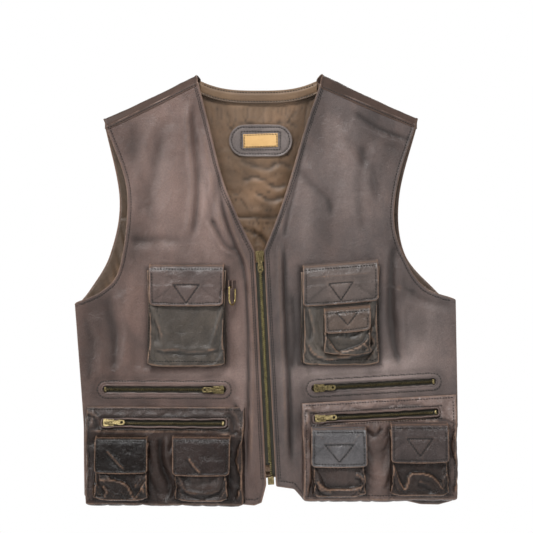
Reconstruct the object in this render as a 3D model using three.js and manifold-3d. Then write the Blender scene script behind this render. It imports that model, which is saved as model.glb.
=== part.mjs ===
// A leather fishing vest as it hangs: back, two fronts, lining, seven flap pockets,
// two zipped slit pockets, two zipped cargo pockets, a front zip and a D-ring.
// Millimetres, +Z up. The front faces -Y and +X is to the right of someone facing it.
// Heights are counted from the hem inside `vest`, which hangs below the hanger's point.

import * as THREE from 'three';
import { mergeVertices } from 'three/addons/utils/BufferGeometryUtils.js';
import Module from 'manifold-3d';

const wasm = await Module();
wasm.setup();

// ---------------------------------------------------------------- driving dimensions

const HANGER_HEIGHT = 650; // hem to the hanger's point
const LEATHER = 1.8;
const LINING = 0.8;
const GAP = 0.3; // between touching pieces
const FRONT_FORWARD = 28; // how far the fronts' middle stands forward of the side seams
const FRONT_TURN = THREE.MathUtils.degToRad(4.2); // each front turns back to its side seam
const FRONT_SPLIT = 388; // the height of the neck opening's lowest point
const SHOULDER_LEAN = THREE.MathUtils.degToRad(1.7); // the upper fronts lean back
const BACK_DEPTH = 28;
const BACK_FLAT_HALF = 150;
const BACK_SIDE_SLOPE = 0.143;
const BACK_LEAN_FROM = 480;
const BACK_LEAN = 0.08;
const YOKE_THICK = 2.4; // measured upright, on slopes of about 40 degrees
const YOKE_LAP = YOKE_THICK + GAP; // what the panels below the yoke leave for it
const LINING_GAP = 1.2; // behind the back panel, whose bends its lining doesn't share
const LINING_INSET = 11;
const LINING_BEHIND = 5.5; // room for a slit pocket's bag

const ZIP = {
  tapeHalf: 9,
  tapeThick: 0.8,
  chainHalf: 2.65,
  chainOut: 2.4,
  halfGap: 0.15,
  slotHalf: 6.5,
};
const SLIDER = { length: 16, half: 6, inside: 3.2, plate: 4.0, plateThick: 1.2, clear: 0.2 };
const BRIDGE = { reach: 4.8, foot: 1.6, half: 0.8, height: 3.4, bar: 1.2 };
const PULL = { reach: 25, half: 4, thick: 1.2, bar: 0.6, window: 5.4, windowHalf: 1.4, eye: 1.6 };
const FLAP = { thick: 2, root: 0.5, bendOut: 11, bendDown: 8, lean: 3.2 };
const POUCH = { wall: 1.8, rimDown: 10, rimDepth: 10 };

// Outline points are [across, height]. The vest hangs a little unevenly, so its sides differ.
const SIDES = {
  left: {
    sign: -1,
    neckEdge: [[-104, 648], [-87, 582], [-66, 500], [-42, 441]],
    seam: [[-111, 649], [-241, 580]],
    ridge: [[-105.5, 658.5], [-249, 590]],
    armhole: [[-244, 575], [-216, 498], [-213, 435], [-226, 358], [-253, 327], [-293, 310]],
    side: [[-279, 125], [-278, 16], [-268, 4]],
    hem: [[-214, 4], [-41, 4], [-17, 2], [-5, 7]],
  },
  right: {
    sign: 1,
    neckEdge: [[83, 644], [58, 570], [32, 484], [15, 435]],
    seam: [[87, 643], [226, 583]],
    ridge: [[85.5, 660], [233, 591]],
    armhole: [[229, 575], [204, 500], [197, 430], [216, 372], [245, 333], [291, 316]],
    side: [[294, 131], [290, 47], [286, 13]],
    hem: [[213, 11], [57, 11], [43, 27], [16, 31]],
  },
};
const MAIN_ZIP = { top: [-10, 389], bottom: [8, 34], edge: 7, boxHeight: 13, boxHalf: 5.7 };

// ------------------------------------------------------------------------- materials

function material(color, roughness, metalness = 0) {
  return new THREE.MeshStandardMaterial({ color, roughness, metalness });
}

const MATERIALS = {
  leather: material(0x5d4a42, 0.55),
  pocketLeather: material(0x4a3a33, 0.45),
  flapLeather: material(0x5f4238, 0.5),
  lining: material(0x6a5438, 0.8),
  patch: material(0x5a5254, 0.6),
  label: material(0xc79a58, 0.7),
  tape: material(0x33321f, 0.9),
  brass: material(0xa0905a, 0.35, 1),
  bag: material(0x4c3c2c, 0.85),
};

// --------------------------------------------------------------------------- helpers

function solid(geometry) {
  const bare = geometry.clone();
  bare.deleteAttribute('normal');
  bare.deleteAttribute('uv');
  const merged = mergeVertices(bare, 1e-4);
  const mesh = new wasm.Mesh({
    numProp: 3,
    vertProperties: Float32Array.from(merged.attributes.position.array),
    triVerts: Uint32Array.from(merged.index.array),
  });
  return new wasm.Manifold(mesh);
}

function geometryOf(manifold) {
  const mesh = manifold.getMesh();
  const geometry = new THREE.BufferGeometry();
  geometry.setAttribute('position', new THREE.BufferAttribute(mesh.vertProperties, 3));
  geometry.setIndex(new THREE.BufferAttribute(mesh.triVerts, 1));
  geometry.computeVertexNormals();
  return geometry;
}

function addMesh(parent, name, geometry, look) {
  const mesh = new THREE.Mesh(geometry, look);
  mesh.name = name;
  parent.add(mesh);
  return mesh;
}

function addGroup(parent, position = [0, 0, 0], turn = [0, 0, 0]) {
  const group = new THREE.Group();
  group.position.set(...position);
  group.rotation.set(...turn);
  parent.add(group);
  return group;
}

// A box between two corners.
function block(low, high) {
  const size = high.map((value, i) => value - low[i]);
  const geometry = new THREE.BoxGeometry(...size);
  return geometry.translate(...low.map((value, i) => value + size[i] / 2));
}

function join(...geometries) {
  return geometryOf(geometries.map(solid).reduce((sum, next) => sum.add(next)));
}

function cut(geometry, ...tools) {
  return geometryOf(tools.map(solid).reduce((rest, tool) => rest.subtract(tool), solid(geometry)));
}

// An upright outline of [across, height] points made `thick`, from y = back towards -Y.
function uprightPlate(shape, thick, back = 0) {
  const geometry = new THREE.ExtrudeGeometry(shape, {
    depth: thick,
    bevelEnabled: false,
    curveSegments: 8,
  });
  return geometry.rotateX(Math.PI / 2).translate(0, back, 0);
}

// A closed sheet: place(along, up, face) gives the point for along and up from 0 to 1,
// with face 0 on the front (-Y or lower) skin and 1 on the other one.
function sheet(columns, rows, place) {
  const geometry = new THREE.BoxGeometry(1, 1, 1, columns, 1, rows);
  const points = geometry.attributes.position;
  for (let i = 0; i < points.count; i += 1) {
    const along = points.getX(i) + 0.5;
    const face = points.getY(i) + 0.5;
    const up = points.getZ(i) + 0.5;
    points.setXYZ(i, ...place(along, up, face));
  }
  return geometry;
}

function mix(a, b, t) {
  return a + (b - a) * t;
}

function vectors(points) {
  return points.map(([x, y]) => new THREE.Vector2(x, y));
}

function stadium(halfLength, halfHeight) {
  const straight = halfLength - halfHeight;
  const shape = new THREE.Shape();
  shape.moveTo(-straight, -halfHeight);
  shape.lineTo(straight, -halfHeight);
  shape.absarc(straight, 0, halfHeight, -Math.PI / 2, Math.PI / 2);
  shape.lineTo(-straight, halfHeight);
  shape.absarc(-straight, 0, halfHeight, Math.PI / 2, 1.5 * Math.PI);
  return shape;
}

// The same outline drawn in by a distance, for the lining, with at least that much
// from one point to the next so that it can't cross itself.
function inset(shape, distance) {
  const points = [];
  for (const point of shape.getPoints(8)) {
    const ends = [points[0], points.at(-1)].filter(Boolean);
    if (ends.every((other) => other.distanceTo(point) > distance * 1.5)) points.push(point);
  }
  const turn = Math.sign(THREE.ShapeUtils.area(points));
  const count = points.length;
  return new THREE.Shape(points.map((point, i) => {
    const before = points[(i + count - 1) % count];
    const after = points[(i + 1) % count];
    const way = after.clone().sub(before).normalize();
    return new THREE.Vector2(point.x - turn * way.y * distance, point.y + turn * way.x * distance);
  }));
}

// ------------------------------------------------------------------------ zip pieces

// In a zip's own frame X runs along the chain, -Y is outwards and Z is across it.
// The chain stops `hidden` short of each end of the tape, where leather covers it.
function zipStrip(length, low, high, hidden = 0) {
  const tapeBack = GAP + ZIP.tapeThick;
  const tapeLow = low < 0 ? -ZIP.tapeHalf : low;
  const tapeHigh = high > 0 ? ZIP.tapeHalf : high;
  const tape = block([0, GAP, tapeLow], [length, tapeBack, tapeHigh]);
  const chain = block([hidden, -ZIP.chainOut, low], [length - hidden, tapeBack - 0.2, high]);
  return join(tape, chain);
}

function sliderBody() {
  const half = SLIDER.length / 2;
  const front = SLIDER.plate + SLIDER.plateThick;
  const body = block([-half, -front, -SLIDER.half], [half, -SLIDER.clear, SLIDER.half]);
  const channel = block([-half - 1, -SLIDER.plate, -SLIDER.inside], [half + 1, 1, SLIDER.inside]);
  const top = front + BRIDGE.height;
  const arch = block([-BRIDGE.reach, -top, -BRIDGE.half], [BRIDGE.reach, -front + 0.3, BRIDGE.half]);
  const room = BRIDGE.reach - BRIDGE.foot;
  const under = block([-room, BRIDGE.bar - top, -2], [room, -front, 2]);
  return join(cut(body, channel), cut(arch, under));
}

// The pull's cross bar turns under the bridge; its plate reaches out along +X.
function pullTab() {
  const shape = new THREE.Shape();
  shape.moveTo(-PULL.bar, -PULL.half * 0.7);
  shape.lineTo(PULL.window, -PULL.half * 0.7);
  shape.lineTo(PULL.reach * 0.6, -PULL.half);
  shape.absarc(PULL.reach - PULL.half, 0, PULL.half, -Math.PI / 2, Math.PI / 2);
  shape.lineTo(PULL.window, PULL.half * 0.7);
  shape.lineTo(-PULL.bar, PULL.half * 0.7);
  const window = new THREE.Path();
  window.moveTo(PULL.bar, -PULL.windowHalf);
  window.lineTo(PULL.bar, PULL.windowHalf);
  window.lineTo(PULL.window, PULL.windowHalf);
  window.lineTo(PULL.window, -PULL.windowHalf);
  const eye = new THREE.Path();
  eye.absarc(PULL.reach - PULL.half, 0, PULL.eye, 0, 2 * Math.PI, true);
  shape.holes.push(window, eye);
  return uprightPlate(shape, PULL.thick, PULL.thick / 2);
}

const PULL_OUT = SLIDER.plate + SLIDER.plateThick + (BRIDGE.height - BRIDGE.bar) / 2;

// The slider and its pull at `place` in the zip's frame; `way` is 1 where the pull
// points along +X and -1 where it points back.
function addSlider(zip, name, place, way) {
  const seat = addGroup(zip, [place, 0, 0], [0, 0, 0]);
  addMesh(seat, `${name}_slider`, sliderBody(), MATERIALS.brass);
  const turn = way > 0 ? [0, 0, 0] : [0, Math.PI, 0];
  const pivot = addGroup(seat, [0, -PULL_OUT, 0], turn);
  addMesh(pivot, `${name}_pull`, pullTab(), MATERIALS.brass);
}

// ------------------------------------------------------------------------------ back

function backInner(x, z) {
  const across = Math.max(0, Math.abs(x) - BACK_FLAT_HALF) * BACK_SIDE_SLOPE;
  const up = Math.max(0, z - BACK_LEAN_FROM) * BACK_LEAN;
  return BACK_DEPTH - across - up;
}

const BACK_EDGES = {
  left: [[-277, 8], [-279, 125], [-292, 306], [-262, 335], [-232, 385], [-219, 465], [-247, 583]],
  right: [[288, 14], [293, 131], [291, 306], [262, 335], [216, 385], [206, 465], [232, 583]],
};
const BACK_NECK = { left: -98, right: 76, middle: 633, point: 650, seamDrop: 18 };

// Half of the back's edge as a curve from the hem to the shoulder's tip.
function backEdge(points) {
  const path = new THREE.Path();
  const [hem, waist, under, ...armhole] = vectors(points);
  path.moveTo(hem.x, hem.y);
  path.lineTo(waist.x, waist.y);
  path.lineTo(under.x, under.y);
  path.splineThru(armhole);
  return path;
}

// The back's top line: a shallow neck between two straight shoulders.
function backTop(x) {
  const { left, right, middle, point } = BACK_NECK;
  const centre = (left + right) / 2;
  const half = (right - left) / 2;
  const out = Math.abs(x - centre) / half;
  const tips = [BACK_EDGES.left.at(-1), BACK_EDGES.right.at(-1)];
  const tip = x < centre ? tips[0] : tips[1];
  const neck = x < centre ? left : right;
  if (out <= 1) return mix(middle, point, out ** 3);
  return mix(point, tip[1], (x - neck) / (tip[0] - neck)) - YOKE_THICK;
}

function backSheet(inside, thick, draw) {
  const left = backEdge(BACK_EDGES.left);
  const right = backEdge(BACK_EDGES.right);
  const tip = BACK_EDGES.left.at(-1)[1];
  return sheet(26, 30, (along, up, face) => {
    const a = left.getPoint(up);
    const b = right.getPoint(up);
    const x = mix(a.x + draw, b.x - draw, along);
    const rise = up ** 3 * (backTop(x) - tip);
    const lift = draw * (1 - 2 * up);
    const z = mix(a.y, b.y, along) + rise + lift;
    return [x, backInner(x, z) + inside + thick * face, z];
  });
}

function addBack(vest) {
  addMesh(vest, 'back_panel', backSheet(0, LEATHER, 0), MATERIALS.leather);
  addMesh(vest, 'back_lining', backSheet(-LINING_GAP - LINING, LINING, 4), MATERIALS.lining);
  const { left, right, middle, point, seamDrop } = BACK_NECK;
  const facing = sheet(12, 2, (along, up, face) => {
    const x = mix(left + 6, right - 6, along);
    const out = Math.abs(2 * along - 1);
    const top = mix(middle, point, out ** 3) - 5;
    const z = mix(top - seamDrop, top, up);
    const behind = LINING_GAP + LINING + 2 * GAP + LEATHER;
    return [x, backInner(x, z) - behind + LEATHER * face, z];
  });
  addMesh(vest, 'back_neck_facing', facing, MATERIALS.leather);
  const lean = Math.atan(BACK_LEAN);
  const height = 559;
  const back = backInner(0, height) - LINING_GAP - LINING - 2 * GAP;
  const patchAt = addGroup(vest, [-8, back, height], [lean, 0, 0]);
  addMesh(patchAt, 'label_patch', uprightPlate(stadium(49, 25), LEATHER), MATERIALS.patch);
  const labelAt = addGroup(patchAt, [0, -LEATHER - GAP, 0], [0, THREE.MathUtils.degToRad(-2), 0]);
  const label = block([-26.5, -0.6, -10.5], [26.5, 0, 10.5]);
  addMesh(labelAt, 'neck_label', label, MATERIALS.label);
}

// ---------------------------------------------------------------------------- fronts

// One whole front from hem to shoulder seam, before it is split at FRONT_SPLIT.
function frontOutline(side) {
  const { neckEdge, seam, armhole, hem } = side;
  const edge = side.sign * MAIN_ZIP.edge;
  const shape = new THREE.Shape();
  shape.moveTo(MAIN_ZIP.top[0] + edge, FRONT_SPLIT + 1);
  shape.splineThru(vectors([...neckEdge].reverse()));
  shape.lineTo(seam[0][0], seam[0][1] - YOKE_LAP);
  shape.lineTo(seam[1][0], seam[1][1] - YOKE_LAP);
  shape.lineTo(...armhole[0]);
  shape.splineThru(vectors(armhole.slice(1)));
  for (const point of [...side.side, ...hem]) shape.lineTo(...point);
  shape.lineTo(MAIN_ZIP.bottom[0] + edge, MAIN_ZIP.bottom[1]);
  return shape;
}

// The part of a front's solid above (upper) or below FRONT_SPLIT.
function splitFront(geometry, upper) {
  const far = 1000;
  const low = upper ? FRONT_SPLIT + GAP / 2 : -far;
  const high = upper ? far : FRONT_SPLIT - GAP / 2;
  const keep = block([-far, -far, low], [far, far, high]);
  return geometryOf(solid(geometry).intersect(solid(keep)));
}

function addUpperFront(frame, name, side) {
  const outline = frontOutline(side);
  const lean = addGroup(frame, [0, 0, FRONT_SPLIT], [-SHOULDER_LEAN, 0, 0]);
  const shell = splitFront(uprightPlate(outline, LEATHER), true);
  const lining = splitFront(uprightPlate(inset(outline, 4), LINING, GAP + LINING), true);
  addMesh(lean, `upper_front_${name}`, shell.translate(0, 0, -FRONT_SPLIT), MATERIALS.leather);
  addMesh(lean, `upper_lining_${name}`, lining.translate(0, 0, -FRONT_SPLIT), MATERIALS.lining);
}

// The leather over the shoulder: it wraps from the back over a ridge to the front's seam.
function addYoke(vest, name, side) {
  const { sign, seam, ridge } = side;
  const back = name === 'left' ? BACK_NECK.left : BACK_NECK.right;
  const tip = BACK_EDGES[name].at(-1);
  const frontY = ([x, z]) => {
    const plane = -FRONT_FORWARD + Math.abs(x) * Math.tan(FRONT_TURN);
    return plane + (z - FRONT_SPLIT) * Math.tan(SHOULDER_LEAN) - LEATHER;
  };
  const ends = [0, 1].map((end) => {
    const rear = end === 0 ? [back, BACK_NECK.point] : tip;
    const rearY = backInner(...rear) + LEATHER;
    const front = [seam[end][0], frontY(seam[end]), seam[end][1]];
    const crest = [ridge[end][0], (front[1] + rearY) / 2, ridge[end][1]];
    return [front, crest, [rear[0], rearY, rear[1]]].map((p) => new THREE.Vector3(...p));
  });
  const curves = ends.map((points) => new THREE.CatmullRomCurve3(points));
  const geometry = sheet(6, 1, (across, top, along) => {
    const end = sign > 0 ? along : 1 - along;
    const near = curves[0].getPoint(across);
    const far = curves[1].getPoint(across);
    const point = near.lerp(far, end);
    return [point.x, point.y, point.z - YOKE_THICK * (1 - top)];
  });
  addMesh(vest, `shoulder_yoke_${name}`, flipped(geometry), MATERIALS.leather);
}

// Turns a geometry's faces over, for a mapping that mirrors it.
function flipped(geometry) {
  const index = geometry.index;
  for (let i = 0; i < index.count; i += 3) {
    const first = index.getX(i);
    index.setX(i, index.getX(i + 1));
    index.setX(i + 1, first);
  }
  return geometry;
}

// --------------------------------------------------------------------------- pockets

// An open-topped pouch sewn to the plane y = 0: a front wall, two gussets and a base.
// `tilt` is its rim's slope: how far it rises for each millimetre to the right.
function pouch({ width, height, base, rim = POUCH.rimDepth, tilt = 0 }) {
  const form = (half, low, high, inner) => sheet(1, 1, (along, up, face) => {
    const x = mix(-half, half, along);
    const z = mix(low, high, up);
    const front = mix(base, rim, (z + height) / height) - inner;
    const rise = tilt * x * (1 + z / height);
    return [x, face > 0.5 ? -GAP + (inner > 0 ? 1 : 0) : -front, z + rise];
  });
  const outer = form(width / 2, -height, 0, 0);
  const { wall } = POUCH;
  const inner = form(width / 2 - wall, wall - height, 2, wall);
  return cut(outer, inner);
}

// A flap that leaves the plane y = 0 at the origin, bends out over its pouch and hangs down.
function flap({ width, lower, length, tilt = 0 }) {
  const { root, bendOut, bendDown, lean } = FLAP;
  const rows = [[root, 0], [bendOut, bendDown], [bendOut + lean, length]];
  return sheet(1, 2, (along, up, face) => {
    const row = rows[2 - Math.round(up * 2)];
    const half = mix(lower, width, up) / 2;
    const x = mix(-half, half, along);
    const skin = face > 0.5 ? 0 : FLAP.thick;
    return [x, -row[0] - skin, -row[1] + tilt * x];
  });
}

// A pocket and its flap, sewn at `place` ([across, height] of the flap's top middle).
function addFlapPocket(plane, names, place, pocket, lid) {
  const seat = addGroup(plane, [place[0], 0, place[1]]);
  const body = addGroup(seat, [pocket.shift ?? 0, 0, -POUCH.rimDown]);
  addMesh(body, names[0], pouch(pocket), MATERIALS.pocketLeather);
  addMesh(seat, names[1], flap(lid), MATERIALS.flapLeather);
  return seat;
}

const CARGO = { depthTop: 2, depthLip: 14, depthBase: 21, wall: 1.8 };
const CARGO_BAND = 36; // top edge to the lip under the zip
const CARGO_ZIP = 25; // top edge to the zip's middle

// A cargo pocket's profile as [out, down] points, drawn in by the wall for its hollow.
function cargoForm(half, height, wall, tilt) {
  const low = height - wall;
  const rows = [
    [CARGO.depthTop - wall, 0],
    [CARGO.depthLip - wall, CARGO_BAND],
    [CARGO.depthBase - wall, low],
  ];
  return sheet(1, 2, (along, up, face) => {
    const row = rows[2 - Math.round(up * 2)];
    const x = mix(-half, half, along);
    const out = face > 0.5 ? GAP - (wall > 0 ? 1 : 0) : Math.max(row[0], wall > 0 ? -0.5 : 0);
    return [x, -out, -row[1] + tilt * x * (1 - row[1] / height)];
  });
}

function addCargoPocket(plane, name, { place, width, height, tilt, zipFrom, zipTo, sliderAt }) {
  const seat = addGroup(plane, [place[0], -LEATHER, place[1]]);
  const slope = Math.atan2(CARGO.depthLip - CARGO.depthTop, CARGO_BAND);
  const out = mix(CARGO.depthTop, CARGO.depthLip, CARGO_ZIP / CARGO_BAND);
  const turn = -Math.atan(tilt);
  const length = zipTo - zipFrom;
  const middle = (zipTo + zipFrom) / 2;
  const face = addGroup(seat, [middle, -out, tilt * middle - CARGO_ZIP], [-slope, turn, 0]);
  face.rotation.order = 'YXZ';
  const slot = block([-length / 2, -6, -ZIP.slotHalf], [length / 2, 6, ZIP.slotHalf]);
  face.updateMatrix();
  slot.applyMatrix4(face.matrix);
  const hollow = cargoForm(width / 2 - CARGO.wall, height, CARGO.wall, tilt);
  const body = cut(cargoForm(width / 2, height, 0, tilt), hollow, slot);
  addMesh(seat, `cargo_pocket_${name}`, body, MATERIALS.pocketLeather);
  const zip = addGroup(face, [-length / 2, CARGO.wall, 0]);
  const strip = zipStrip(length, -ZIP.chainHalf, ZIP.chainHalf, 1);
  addMesh(zip, `cargo_zip_${name}`, strip, MATERIALS.tape);
  addSlider(zip, `cargo_zip_${name}`, sliderAt, 1);
  return seat;
}

// How far a cargo pocket's front stands out at `down` below its top edge.
function cargoFront(down, height) {
  return mix(CARGO.depthLip, CARGO.depthBase, (down - CARGO_BAND) / (height - CARGO_BAND));
}

// A plane lying on a cargo pocket's front, for the small pockets sewn to it. A tilted
// pocket's front stands further out to the right, so the plane clears it there.
function cargoPlane(seat, { height, width, tilt }) {
  const rise = (CARGO.depthBase - CARGO.depthLip) / (height - CARGO_BAND);
  const out = cargoFront(0, height) + rise * tilt * (width / 2);
  return addGroup(seat, [0, -out, 0], [-Math.atan(rise), 0, 0]);
}

// A slit pocket: its zip lies behind the slot in the front, with its bag behind that.
function addSlitPocket(frame, name, { middle, length, tilt, sliderAt, way }) {
  const turn = -Math.atan(tilt);
  const zip = addGroup(frame, [middle[0], 0, middle[1]], [0, turn, 0]);
  const past = 6;
  const strip = zipStrip(length + 2 * past, -ZIP.chainHalf, ZIP.chainHalf, past + 1.2);
  const start = -length / 2 - past;
  const chain = addGroup(zip, [start, 0, 0]);
  addMesh(chain, `slit_zip_${name}`, strip, MATERIALS.tape);
  addSlider(chain, `slit_zip_${name}`, sliderAt - start, way);
  const bag = block([-length / 2, 2.2, -130], [length / 2, 4.9, 12]);
  addMesh(zip, `slit_pocket_bag_${name}`, bag, MATERIALS.bag);
}

function slitHole({ middle, length, tilt }) {
  const points = stadium(length / 2, ZIP.slotHalf).getPoints(5);
  const turn = Math.atan(tilt);
  return new THREE.Path(points.map((point) => {
    return point.clone().rotateAround(new THREE.Vector2(), turn).add(new THREE.Vector2(...middle));
  }));
}

// ------------------------------------------------------------------------- the D-ring

const RING = { height: 29, width: 24, wire: 2.6, bar: 2.2 };

function ringGeometry() {
  const outline = (half, top, bottom) => {
    const shape = new THREE.Shape();
    shape.moveTo(-half, top);
    shape.lineTo(-half, bottom + half);
    shape.absarc(0, bottom + half, half, Math.PI, 2 * Math.PI);
    shape.lineTo(half, top);
    return shape;
  };
  const half = RING.width / 2;
  const ring = outline(half, RING.bar / 2, RING.bar / 2 - RING.height);
  const inner = half - RING.wire;
  ring.holes.push(outline(inner, -RING.bar / 2, RING.bar / 2 - RING.height + RING.wire));
  return uprightPlate(ring, RING.wire, RING.wire / 2);
}

// A folded leather loop on the pocket's gusset, with the ring's bar through it. The
// ring hangs a little twisted, and the loop is cut to the gusset beside it.
function addRing(frame, place, gusset) {
  const twist = THREE.MathUtils.degToRad(110);
  const seat = addGroup(frame, place, [0, 0, -twist]);
  const loop = block([-8, -20, -5], [8, 4, 12]);
  const bore = block([-9, -2.2, -2.2], [9, 2.2, 2.2]);
  const far = 60;
  const pocket = block([-far, -far, -far], [gusset + GAP - place[0], far, far]).rotateZ(twist);
  addMesh(seat, 'ring_tab', cut(loop, bore, pocket), MATERIALS.pocketLeather);
  addMesh(seat, 'd_ring', ringGeometry(), MATERIALS.brass);
}

// ------------------------------------------------------------------------- assembly

const SLITS = {
  left: { middle: [-155, 178], length: 192, tilt: 0, sliderAt: 83, way: -1 },
  right: { middle: [165, 185], length: 194, tilt: 0.054, sliderAt: -84, way: 1 },
};

const CARGOS = {
  left: {
    place: [-153, 152],
    width: 242,
    height: 147,
    tilt: 0,
    zipFrom: -96,
    zipTo: 93,
    sliderAt: 10,
  },
  right: {
    place: [173, 164],
    width: 236,
    height: 152,
    tilt: 0.054,
    zipFrom: -101,
    zipTo: 90,
    sliderAt: 10,
  },
};

// Half of the main zip, in its own frame along the slanted centre line.
function addMainZip(frame, name) {
  const { top, bottom } = MAIN_ZIP;
  const length = Math.hypot(bottom[0] - top[0], bottom[1] - top[1]);
  const down = Math.atan2(top[1] - bottom[1], bottom[0] - top[0]);
  const zip = addGroup(frame, [top[0], 0, top[1]], [0, down, 0]);
  const travelEnd = length - MAIN_ZIP.boxHeight - SLIDER.length - 1;
  if (name === 'left') {
    const start = SLIDER.length + 1;
    const strip = zipStrip(travelEnd - start, -ZIP.chainHalf, -ZIP.halfGap);
    addMesh(zip, 'main_zip_left', strip.translate(start, 0, 0), MATERIALS.tape);
    return;
  }
  const boxFrom = length - MAIN_ZIP.boxHeight;
  addMesh(zip, 'main_zip_right', zipStrip(boxFrom - GAP, ZIP.halfGap, ZIP.chainHalf), MATERIALS.tape);
  const box = block([boxFrom, -4, -MAIN_ZIP.boxHalf], [length, 1, MAIN_ZIP.boxHalf]);
  addMesh(zip, 'main_zip_box', box, MATERIALS.brass);
  addSlider(zip, 'main_zip', SLIDER.length / 2, 1);
}

function addFront(vest, name) {
  const side = SIDES[name];
  const frame = addGroup(vest, [0, -FRONT_FORWARD, 0], [0, 0, side.sign * FRONT_TURN]);
  addUpperFront(frame, name, side);
  const outline = frontOutline(side);
  const lined = inset(outline, LINING_INSET);
  outline.holes.push(slitHole(SLITS[name]));
  const panel = splitFront(uprightPlate(outline, LEATHER), false);
  const lining = splitFront(uprightPlate(lined, LINING, LINING_BEHIND + LINING), false);
  addMesh(frame, `front_panel_${name}`, panel, MATERIALS.leather);
  addMesh(frame, `front_lining_${name}`, lining, MATERIALS.lining);
  addMainZip(frame, name);
  addSlitPocket(frame, name, SLITS[name]);
  return frame;
}

function addLeftPockets(frame) {
  const chest = addGroup(frame, [0, -LEATHER, 0]);
  addFlapPocket(
    chest,
    ['chest_pocket_left', 'chest_flap_left'],
    [-120, 370],
    { width: 122, height: 143, base: 17 },
    { width: 115, lower: 113, length: 64 },
  );
  addRing(frame, [-50, -15.5, 334], -59);
  const seat = addCargoPocket(frame, 'left', CARGOS.left);
  const plane = cargoPlane(seat, CARGOS.left);
  addFlapPocket(
    plane,
    ['small_pocket_a', 'small_flap_a'],
    [-65, -44],
    { width: 84, height: 84, base: 14 },
    { width: 80, lower: 82, length: 57 },
  );
  addFlapPocket(
    plane,
    ['small_pocket_b', 'small_flap_b'],
    [57, -43],
    { width: 84, height: 86, base: 14 },
    { width: 89, lower: 87, length: 61 },
  );
}

function addRightPockets(frame) {
  const chest = addGroup(frame, [0, -LEATHER, 0]);
  const tilt = 0.08;
  const depth = { base: 17, height: 143 };
  const seat = addFlapPocket(
    chest,
    ['chest_pocket_right', 'chest_flap_right'],
    [113, 372],
    { width: 121, height: depth.height, base: depth.base, tilt },
    { width: 115, lower: 116, length: 63, tilt },
  );
  const slope = Math.atan2(depth.base - POUCH.rimDepth, depth.height);
  const rimAt = [0, -POUCH.rimDepth, -POUCH.rimDown];
  const front = addGroup(seat, rimAt, [-slope, 0, 0]);
  addFlapPocket(
    front,
    ['small_chest_pocket', 'small_chest_flap'],
    [9, -57.5],
    { width: 73, height: 60, base: 12, tilt: tilt / 2 },
    { width: 71, lower: 70, length: 39, tilt },
  );
  const cargo = addCargoPocket(frame, 'right', CARGOS.right);
  const plane = cargoPlane(cargo, CARGOS.right);
  addFlapPocket(
    plane,
    ['small_pocket_c', 'small_flap_c'],
    [-64, -42],
    { width: 84, height: 92, base: 14 },
    { width: 84, lower: 86, length: 61 },
  );
  addFlapPocket(
    plane,
    ['small_pocket_d', 'small_flap_d'],
    [59, -36],
    { width: 92, height: 97, base: 14 },
    { width: 88, lower: 89, length: 61 },
  );
}

function makeVest() {
  const hanging = new THREE.Group();
  const vest = addGroup(hanging, [0, 0, -HANGER_HEIGHT]);
  addBack(vest);
  addYoke(vest, 'left', SIDES.left);
  addYoke(vest, 'right', SIDES.right);
  addLeftPockets(addFront(vest, 'left'));
  addRightPockets(addFront(vest, 'right'));
  return hanging;
}

export default makeVest();
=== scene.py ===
"""The looks of a hanging leather fishing vest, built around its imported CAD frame.

Pieces are drawn in millimetres, in the same turned planes as the CAD model: across is X, out of
the leather is -Y and up is Z, counted from the hem. They go to metres in the part's frame at the
end.
"""

import math

import bpy
import numpy as np
from mathutils import Matrix, Vector, noise
from mathutils.bvhtree import BVHTree


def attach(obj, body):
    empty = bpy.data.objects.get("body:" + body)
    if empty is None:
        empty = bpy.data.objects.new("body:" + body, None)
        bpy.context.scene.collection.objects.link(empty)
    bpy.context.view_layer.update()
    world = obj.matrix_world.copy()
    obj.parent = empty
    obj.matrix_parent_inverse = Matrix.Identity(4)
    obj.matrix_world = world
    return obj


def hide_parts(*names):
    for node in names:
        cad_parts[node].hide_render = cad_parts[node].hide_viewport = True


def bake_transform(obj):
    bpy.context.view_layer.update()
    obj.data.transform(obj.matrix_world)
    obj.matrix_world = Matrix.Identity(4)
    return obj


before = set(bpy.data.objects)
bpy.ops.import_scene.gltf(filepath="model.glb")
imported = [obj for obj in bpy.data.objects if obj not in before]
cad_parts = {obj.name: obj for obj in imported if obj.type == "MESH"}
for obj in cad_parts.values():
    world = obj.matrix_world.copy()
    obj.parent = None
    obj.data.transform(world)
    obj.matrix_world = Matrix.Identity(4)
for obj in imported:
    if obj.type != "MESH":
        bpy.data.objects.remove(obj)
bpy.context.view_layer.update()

# ------------------------------------------------------------------ driving dimensions

HANGER_HEIGHT = 650
FRONT_FORWARD = 28
FRONT_TURN = math.radians(4.2)
FRONT_SPLIT = 388
SHOULDER_LEAN = math.radians(1.7)
LEATHER = 1.8
BACK_DEPTH = 28
BACK_FLAT_HALF = 150
BACK_SIDE_SLOPE = 0.143
BACK_LEAN_FROM = 480
BACK_LEAN = 0.08
RIM_DOWN = 10
RIM_DEPTH = 10
CARGO_TOP, CARGO_LIP, CARGO_BASE = 2, 14, 21
CARGO_BAND = 36
CARGO_ZIP = 25
SLIT_HALF = 6.5
ZIP_TOP = (-10, 389)
ZIP_BOTTOM = (8, 34)

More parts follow.
